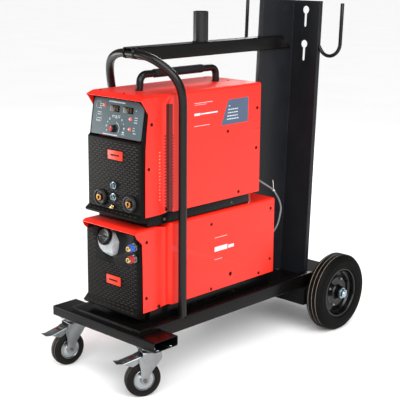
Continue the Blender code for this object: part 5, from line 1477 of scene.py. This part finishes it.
def rear_wheels():
    for name, side in (("right", 1), ("left", -1)):
        body = "rear_wheel_" + name
        at = sideward(side * 0.2189, 0.3663, 0.1310, side)
        half, crown, bead = 0.030, 0.1310, 0.0850
        profile = [(bead, half - 0.004), (bead + 0.004, half - 0.0010), (bead + 0.010, half - 0.0004), (bead + 0.013, half - 0.0012),
                   (bead + 0.016, half - 0.0004), (crown - 0.016, half - 0.0006), (crown - 0.0135, half - 0.0020), (crown - 0.011, half - 0.0014),
                   (crown - 0.006, half - 0.0038), (crown - 0.0022, half - 0.0085)]
        for z in (0.0150, 0.0000, -0.0150):
            profile += [(crown, z + 0.0030), (crown, z + 0.0013), (crown - 0.0022, z + 0.0010), (crown - 0.0022, z - 0.0010), (crown, z - 0.0013), (crown, z - 0.0030)]
        profile += [(crown - 0.0022, -half + 0.0085), (crown - 0.006, -half + 0.0038), (crown - 0.016, -half + 0.0006),
                    (bead + 0.010, -half + 0.0004), (bead + 0.004, -half + 0.0010), (bead, -half + 0.004)]
        piece(lathe(profile, at, 96, True), "rear_tyre_" + name + "_rubber", body, M["tyre"], ["rear_tyre_" + name])
        lines = []
        for z in (0.0150, 0.0000, -0.0150):
            lines.append(lathe([(crown - 0.0024, z + 0.0009), (crown - 0.0006, z + 0.0007), (crown - 0.0006, z - 0.0007), (crown - 0.0024, z - 0.0009)],
                               at, 96, True))
        piece(join(lines), "rear_tyre_" + name + "_lines", body, M["tan"])
        rim = [(0.0104, half), (0.0200, half), (0.0215, half - 0.0010), (0.0220, half - 0.0040), (0.0225, 0.0130), (0.0260, 0.0085),
               (0.0420, 0.0060), (0.0500, 0.0075), (0.0580, 0.0040), (0.0680, 0.0030), (0.0740, 0.0080), (0.0765, 0.0160), (0.0770, half - 0.0085),
               (0.0790, half - 0.0055), (0.0830, half - 0.0052), (0.0847, half - 0.0062)]
        rim += [(0.0847, -half + 0.0062), (0.0830, -half + 0.0052), (0.0790, -half + 0.0055), (0.0770, -half + 0.0085), (0.0765, -0.0100),
                (0.0740, -0.0020), (0.0680, -0.0010), (0.0580, 0.0000), (0.0500, 0.0035), (0.0420, 0.0020), (0.0260, -0.0040), (0.0225, -0.0100),
                (0.0220, -half + 0.0010), (0.0104, -half)]
        disc = lathe(rim, at, 72, True)
        cutters = []
        for k in range(4):
            t = math.radians(90.0 * k + 20.0)
            cutters.append(moved(cylinder(0.0068, (0, 0, -0.02), (0, 0, 0.02), 24), at @ Matrix.Translation((0.0640 * math.cos(t), 0.0640 * math.sin(t), 0.0))))
        cut(disc, *cutters)
        piece(disc, "rear_rim_" + name + "_disc", body, M["rim"], ["rear_rim_" + name])
        bolts = []
        for k in range(4):
            t = math.radians(90.0 * k + 65.0)
            hexagon = [(0.0052 * math.cos(math.radians(60 * j)), 0.0052 * math.sin(math.radians(60 * j))) for j in range(6)]
            nut = plan_prism(hexagon, 0.0058, 0.0110, 0.0005, 2)
            stud = cylinder(0.0026, (0, 0, 0.0100), (0, 0, 0.0140), 16, 0.0005)
            bolts.append(moved(join([nut, stud]), at @ Matrix.Translation((0.0460 * math.cos(t), 0.0460 * math.sin(t), 0.0))))
        piece(join(bolts), "rear_rim_" + name + "_bolts", body, M["zinc"])
    nut_start = 0.2189 + 0.0306
    shaft = cylinder(0.0100, (-nut_start, 0.3663, 0.1310), (nut_start, 0.3663, 0.1310), 40)
    ends = []
    for side in (1, -1):
        at = sideward(side * nut_start, 0.3663, 0.1310, side)
        washer = lathe([(0.0, 0.0), (0.0180, 0.0), (0.0180, 0.0016), (0.0, 0.0016)], at, 36)
        hexagon = [(0.0155 * math.cos(math.radians(60 * j)), 0.0155 * math.sin(math.radians(60 * j))) for j in range(6)]
        nut = moved(plan_prism(hexagon, 0.0016, 0.0098, 0.0008, 2), at)
        stub = moved(lathe([(0.0, 0.0122), (0.0070, 0.0122), (0.0080, 0.0112), (0.0080, 0.0090), (0.0, 0.0090)], IDENTITY, 32), at)
        ends += [washer, nut, stub]
    piece(join([shaft] + ends), "rear_axle_shaft", ROOT, M["zinc_blue"], ["rear_axle"])


def casters():
    for name, side in (("right", 1), ("left", -1)):
        at = HEADINGS[name]
        flat = Matrix.Translation((side * 0.1730, -0.4630, 0.0))
        trail, radius = -0.0240, 0.0540
        plate = plan_prism([round_corners([(-0.0375, -0.0290), (0.0375, -0.0290), (0.0375, 0.0290), (-0.0375, 0.0290)], 0.004, 4)],
                           0.1477, 0.1507, 0.0006, 2)
        boss = lathe([(0.0, 0.1407), (0.0235, 0.1407), (0.0250, 0.1425), (0.0250, 0.1450), (0.0215, 0.1478), (0.0, 0.1478)], IDENTITY, 48)
        piece(moved(join([plate, boss]), flat), "caster_plate_" + name + "_pressing", ROOT, M["zinc"], ["caster_plate_" + name])
        bolts = []
        for x in (-0.0290, 0.0290):
            for y in (-0.0205, 0.0205):
                hexagon = [(0.0056 * math.cos(math.radians(60 * j)) + x, 0.0056 * math.sin(math.radians(60 * j)) + y) for j in range(6)]
                bolts.append(plan_prism(hexagon, 0.1432, 0.1476, 0.0005, 2))
        piece(moved(join(bolts), flat), "caster_plate_" + name + "_bolts", ROOT, M["steel_dark"])
        outer, inner, top, foot = 0.0235, 0.0205, 0.1404, 0.0400
        strap = [(-outer, foot), (-outer, top), (outer, top), (outer, foot), (inner, foot), (inner, top - 0.0030), (-inner, top - 0.0030), (-inner, foot)]
        radii = [0.0, 0.0055, 0.0055, 0.0, 0.0, 0.0030, 0.0030, 0.0]
        fork = prism([round_corners(strap, radii, 4)[::-1]], 0.1400, FRONT_VIEW)
        leg = [(0.0285, top + 0.01), (0.0280, 0.1180), (0.0160, 0.1020), (-0.0020, 0.0800), (-0.0110, 0.0620), (-0.0130, 0.0480), (-0.0240, 0.0410),
               (-0.0350, 0.0480), (-0.0360, 0.0620), (-0.0370, 0.0900), (-0.0420, 0.1130), (-0.0430, 0.1250), (-0.0300, 0.1290), (-0.0300, top + 0.01)]
        rounding = [0.0, 0.008, 0.02, 0.03, 0.01, 0.008, 0.008, 0.008, 0.02, 0.012, 0.004, 0.004, 0.004, 0.0]
        boolean(fork, "INTERSECT", [side_prism(round_corners(leg, rounding, 5)[::-1], -0.03, 0.03)])
        bevel(fork, 0.0006, 2, 40.0)
        race = lathe([(0.0, 0.1404), (0.0225, 0.1404), (0.0225, 0.1385), (0.0190, 0.1372), (0.0, 0.1372)], IDENTITY, 40)
        piece(moved(join([fork, race]), at), "caster_fork_" + name + "_pressing", "caster_" + name, M["zinc"], ["caster_fork_" + name])
        bolt = []
        for s in (1, -1):
            place = sideward(s * 0.0236, trail, radius, s)
            hexagon = [(0.0062 * math.cos(math.radians(60 * j)), 0.0062 * math.sin(math.radians(60 * j))) for j in range(6)]
            bolt.append(moved(plan_prism(hexagon, 0.0, 0.0038, 0.0006, 2), place))
        bolt.append(cylinder(0.0048, (-0.0236, trail, radius), (0.0236, trail, radius), 24))
        piece(moved(join(bolt), at), "caster_axle_" + name, "caster_" + name, M["steel_dark"])
        wheel_at = at @ sideward(0.0, trail, radius)
        half = 0.0160
        tread = [(0.0315, half - 0.0012), (0.0345, half), (0.0420, half - 0.0002), (0.0434, half - 0.0012), (0.0450, half - 0.0010),
                 (0.0512, half - 0.0040)]
        for z in (0.0080, 0.0000, -0.0080):
            crown = radius - 0.0014 * (abs(z) > 0.001)
            tread += [(crown, z + 0.0028), (crown, z + 0.0010), (crown - 0.0016, z + 0.0006), (crown - 0.0016, z - 0.0006), (crown, z - 0.0010),
                      (crown, z - 0.0028)]
        tread += [(0.0512, -half + 0.0040), (0.0450, -half + 0.0010), (0.0434, -half + 0.0012), (0.0420, -half + 0.0002), (0.0345, -half),
                  (0.0315, -half + 0.0012)]
        stripes = []
        for z in (0.0080, 0.0000, -0.0080):
            crown = radius - 0.0014 * (abs(z) > 0.001)
            stripes.append(lathe([(crown - 0.0018, z + 0.0007), (crown - 0.0004, z + 0.0007), (crown - 0.0004, z - 0.0007), (crown - 0.0018, z - 0.0007)],
                                 wheel_at, 80, True))
        piece(join(stripes), "caster_lines_" + name, "caster_roller_" + name, M["tan"])
        piece(lathe(tread, wheel_at, 80, True), "caster_tyre_" + name, "caster_roller_" + name, M["caster_rubber"],
              ["caster_wheel_" + name])
        disc = [(0.0054, 0.0196), (0.0120, 0.0196), (0.0130, 0.0186), (0.0134, half - 0.0010), (0.0180, half - 0.0035), (0.0240, half - 0.0045),
                (0.0285, half - 0.0034), (0.0306, half - 0.0008), (0.0316, half - 0.0012)]
        disc += [(r, -z) for r, z in reversed(disc)]
        piece(lathe(disc, wheel_at, 64, True), "caster_disc_" + name, "caster_roller_" + name, M["disc"])
        pedal_at = at @ Matrix.Translation((0.0, -0.0360, 0.1285)) @ Matrix.Rotation(math.radians(15.0), 4, "X")
        channel = [(-0.0195, -0.0240), (-0.0180, -0.0240), (-0.0180, -0.0020), (0.0180, -0.0020), (0.0180, -0.0240), (0.0195, -0.0240),
                   (0.0195, 0.0), (-0.0195, 0.0)]
        pedal = prism([round_corners(channel, [0.0, 0.0, 0.001, 0.001, 0.0, 0.0, 0.0035, 0.0035], 4)], 0.0560, Matrix.Translation((0.0, -0.0260, 0.0)) @ FRONT_VIEW)
        side_shape = [(0.0020, 0.0010), (0.0020, -0.0100), (-0.0120, -0.0170), (-0.0300, -0.0210), (-0.0420, -0.0130), (-0.0540, -0.0030),
                      (-0.0540, 0.0010)]
        boolean(pedal, "INTERSECT", [side_prism(round_corners(side_shape, [0.0, 0.002, 0.01, 0.008, 0.01, 0.002, 0.0], 4)[::-1], -0.03, 0.03)])
        tongue = side_prism(round_corners([(-0.0500, 0.0000), (-0.0500, -0.0020), (-0.0580, -0.0020), (-0.0740, 0.0040), (-0.0734, 0.0058),
                                           (-0.0580, 0.0000)], [0.0, 0.0, 0.006, 0.0006, 0.0006, 0.006], 4)[::-1], -0.0160, 0.0160, 0.0005, 2)
        pedal = fuse(pedal, tongue)
        ribs = [box((-0.0110, -0.0520 + 0.0065 * k, -0.0004), (0.0110, -0.0490 + 0.0065 * k, 0.0010), 0.0006, 2) for k in range(4)]
        tab = box((-0.0100, -0.0140, -0.0004), (0.0100, -0.0040, 0.0012), 0.0006, 2)
        bevel(pedal, 0.0004, 1, 50.0)
        piece(moved(join([pedal, tab] + ribs), pedal_at), "brake_pedal_" + name + "_pressing", "brake_" + name, M["zinc"], ["brake_pedal_" + name])
        stamp = box((-0.0090, -0.0260, -0.0002), (0.0090, -0.0180, 0.0006), 0.0003, 1)
        piece(moved(stamp, pedal_at), "brake_pedal_" + name + "_mark", "brake_" + name, M["shadow"])


# ---------------------------------------------------------------- carried-over nodes

def repaint(node, finish):
    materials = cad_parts[node].data.materials
    for i in range(len(materials)):
        materials[i] = finish
    if not len(materials):
        materials.append(finish)


def inner_pieces():
    for node, finish in (("source_fan", "knob"), ("cooler_fan", "knob"), ("power_heatsink", "alu"), ("coolant_radiator", "alu"),
                         ("output_transformer", "winding"), ("coolant_pump", "zinc")):
        repaint(node, M[finish])


# ---------------------------------------------------------------- stage

def stage():
    floor_look = Look("floor_pale", 0.6)
    floor_look.colour(floor_look.ramp(floor_look.noise(1.5, 2.0), [(0.3, (0.93, 0.93, 0.93, 1.0)), (0.7, (0.95, 0.95, 0.95, 1.0))]))
    bm = bmesh.new()
    bmesh.ops.create_grid(bm, x_segments=8, y_segments=8, size=30.0)
    floor = from_bmesh(bm, "floor")
    floor.data.materials.append(floor_look.material)
    world = bpy.data.worlds.new("studio")
    bpy.context.scene.world = world
    world.use_nodes = True
    background = world.node_tree.nodes["Background"]
    background.inputs["Color"].default_value = (1.0, 1.0, 1.0, 1.0)
    background.inputs["Strength"].default_value = 0.22

    def area(name, location, target, size, power):
        light = bpy.data.lights.new(name, "AREA")
        light.energy = power
        light.size = size
        obj = link(bpy.data.objects.new(name, light))
        obj.location = location
        obj.rotation_euler = (Vector(target) - Vector(location)).to_track_quat("-Z", "Y").to_euler()
    area("key", (3.4, -0.6, 2.2), (0.0, 0.0, 0.6), 1.6, 30.0)
    area("front", (-0.9, -3.6, 2.4), (0.0, 0.0, 0.6), 1.6, 22.0)
    area("flange", (-1.30, -1.06, 0.55), (0.06, 0.34, 0.80), 0.7, 12.0)
    area("rear", (-1.6, 3.2, 2.4), (0.0, 0.0, 0.6), 1.8, 60.0)
    sun = bpy.data.lights.new("daylight", "SUN")
    sun.energy = 4.5
    sun.angle = math.radians(70.0)
    day = link(bpy.data.objects.new("daylight", sun))
    day.rotation_euler = Vector((-0.62, 0.46, -0.63)).to_track_quat("-Z", "Y").to_euler()


M["lip"] = moulded("plastic_lip_grey", srgb(84, 82, 84), srgb(108, 106, 108), 0.30, specular=0.3)
M["deck"] = powder("paint_black_deck", srgb(12, 12, 12), srgb(18, 18, 18), 0.62, 0.04, 0.00008, specular=0.05)
# pale pink painted highlight for the louvre ticks
M["louvre"] = powder("louvre_painted_highlight", srgb(250, 120, 100), srgb(255, 150, 130), 0.30)
M["dish"] = moulded("plastic_dish", srgb(16, 16, 17), srgb(25, 25, 27), 0.36, specular=0.2)
M["column"] = powder("paint_column", srgb(18, 19, 22), srgb(25, 26, 30), 0.34, 0.05, 0.00008, specular=0.26)
M["socket_steel"] = powder("paint_socket_tube", srgb(18, 17, 18), srgb(28, 27, 28), 0.24, 0.04, 0.00005, specular=0.4)
M["disc"] = metal("caster_disc_zinc", srgb(140, 145, 148), srgb(166, 170, 172), 0.22, cloud_scale=16.0)

link_cable()
source_cover()
cooler_cover()
source_bezel()
cooler_bezel()
chassis_pans()
rear_panels()
main_switch()
control_panel()
displays()
knob_and_buttons()
power_socket("torch_power_socket", -0.0580, 0.5503)
power_socket("earth_power_socket", 0.0700, 0.5493)
round_socket("torch_trigger_socket", 0.0010, 0.5946)
round_socket("foot_pedal_socket", 0.0004, 0.5600)
gas_outlet()
carry_handle()
tank_and_cap()
couplers()
side_label()
front_beam()
side_rails()
floor_and_platform()
column()
boom_arm()
push_handle()
boom_socket()
torch_hooks()
rear_wheels()
casters()
inner_pieces()
stage()
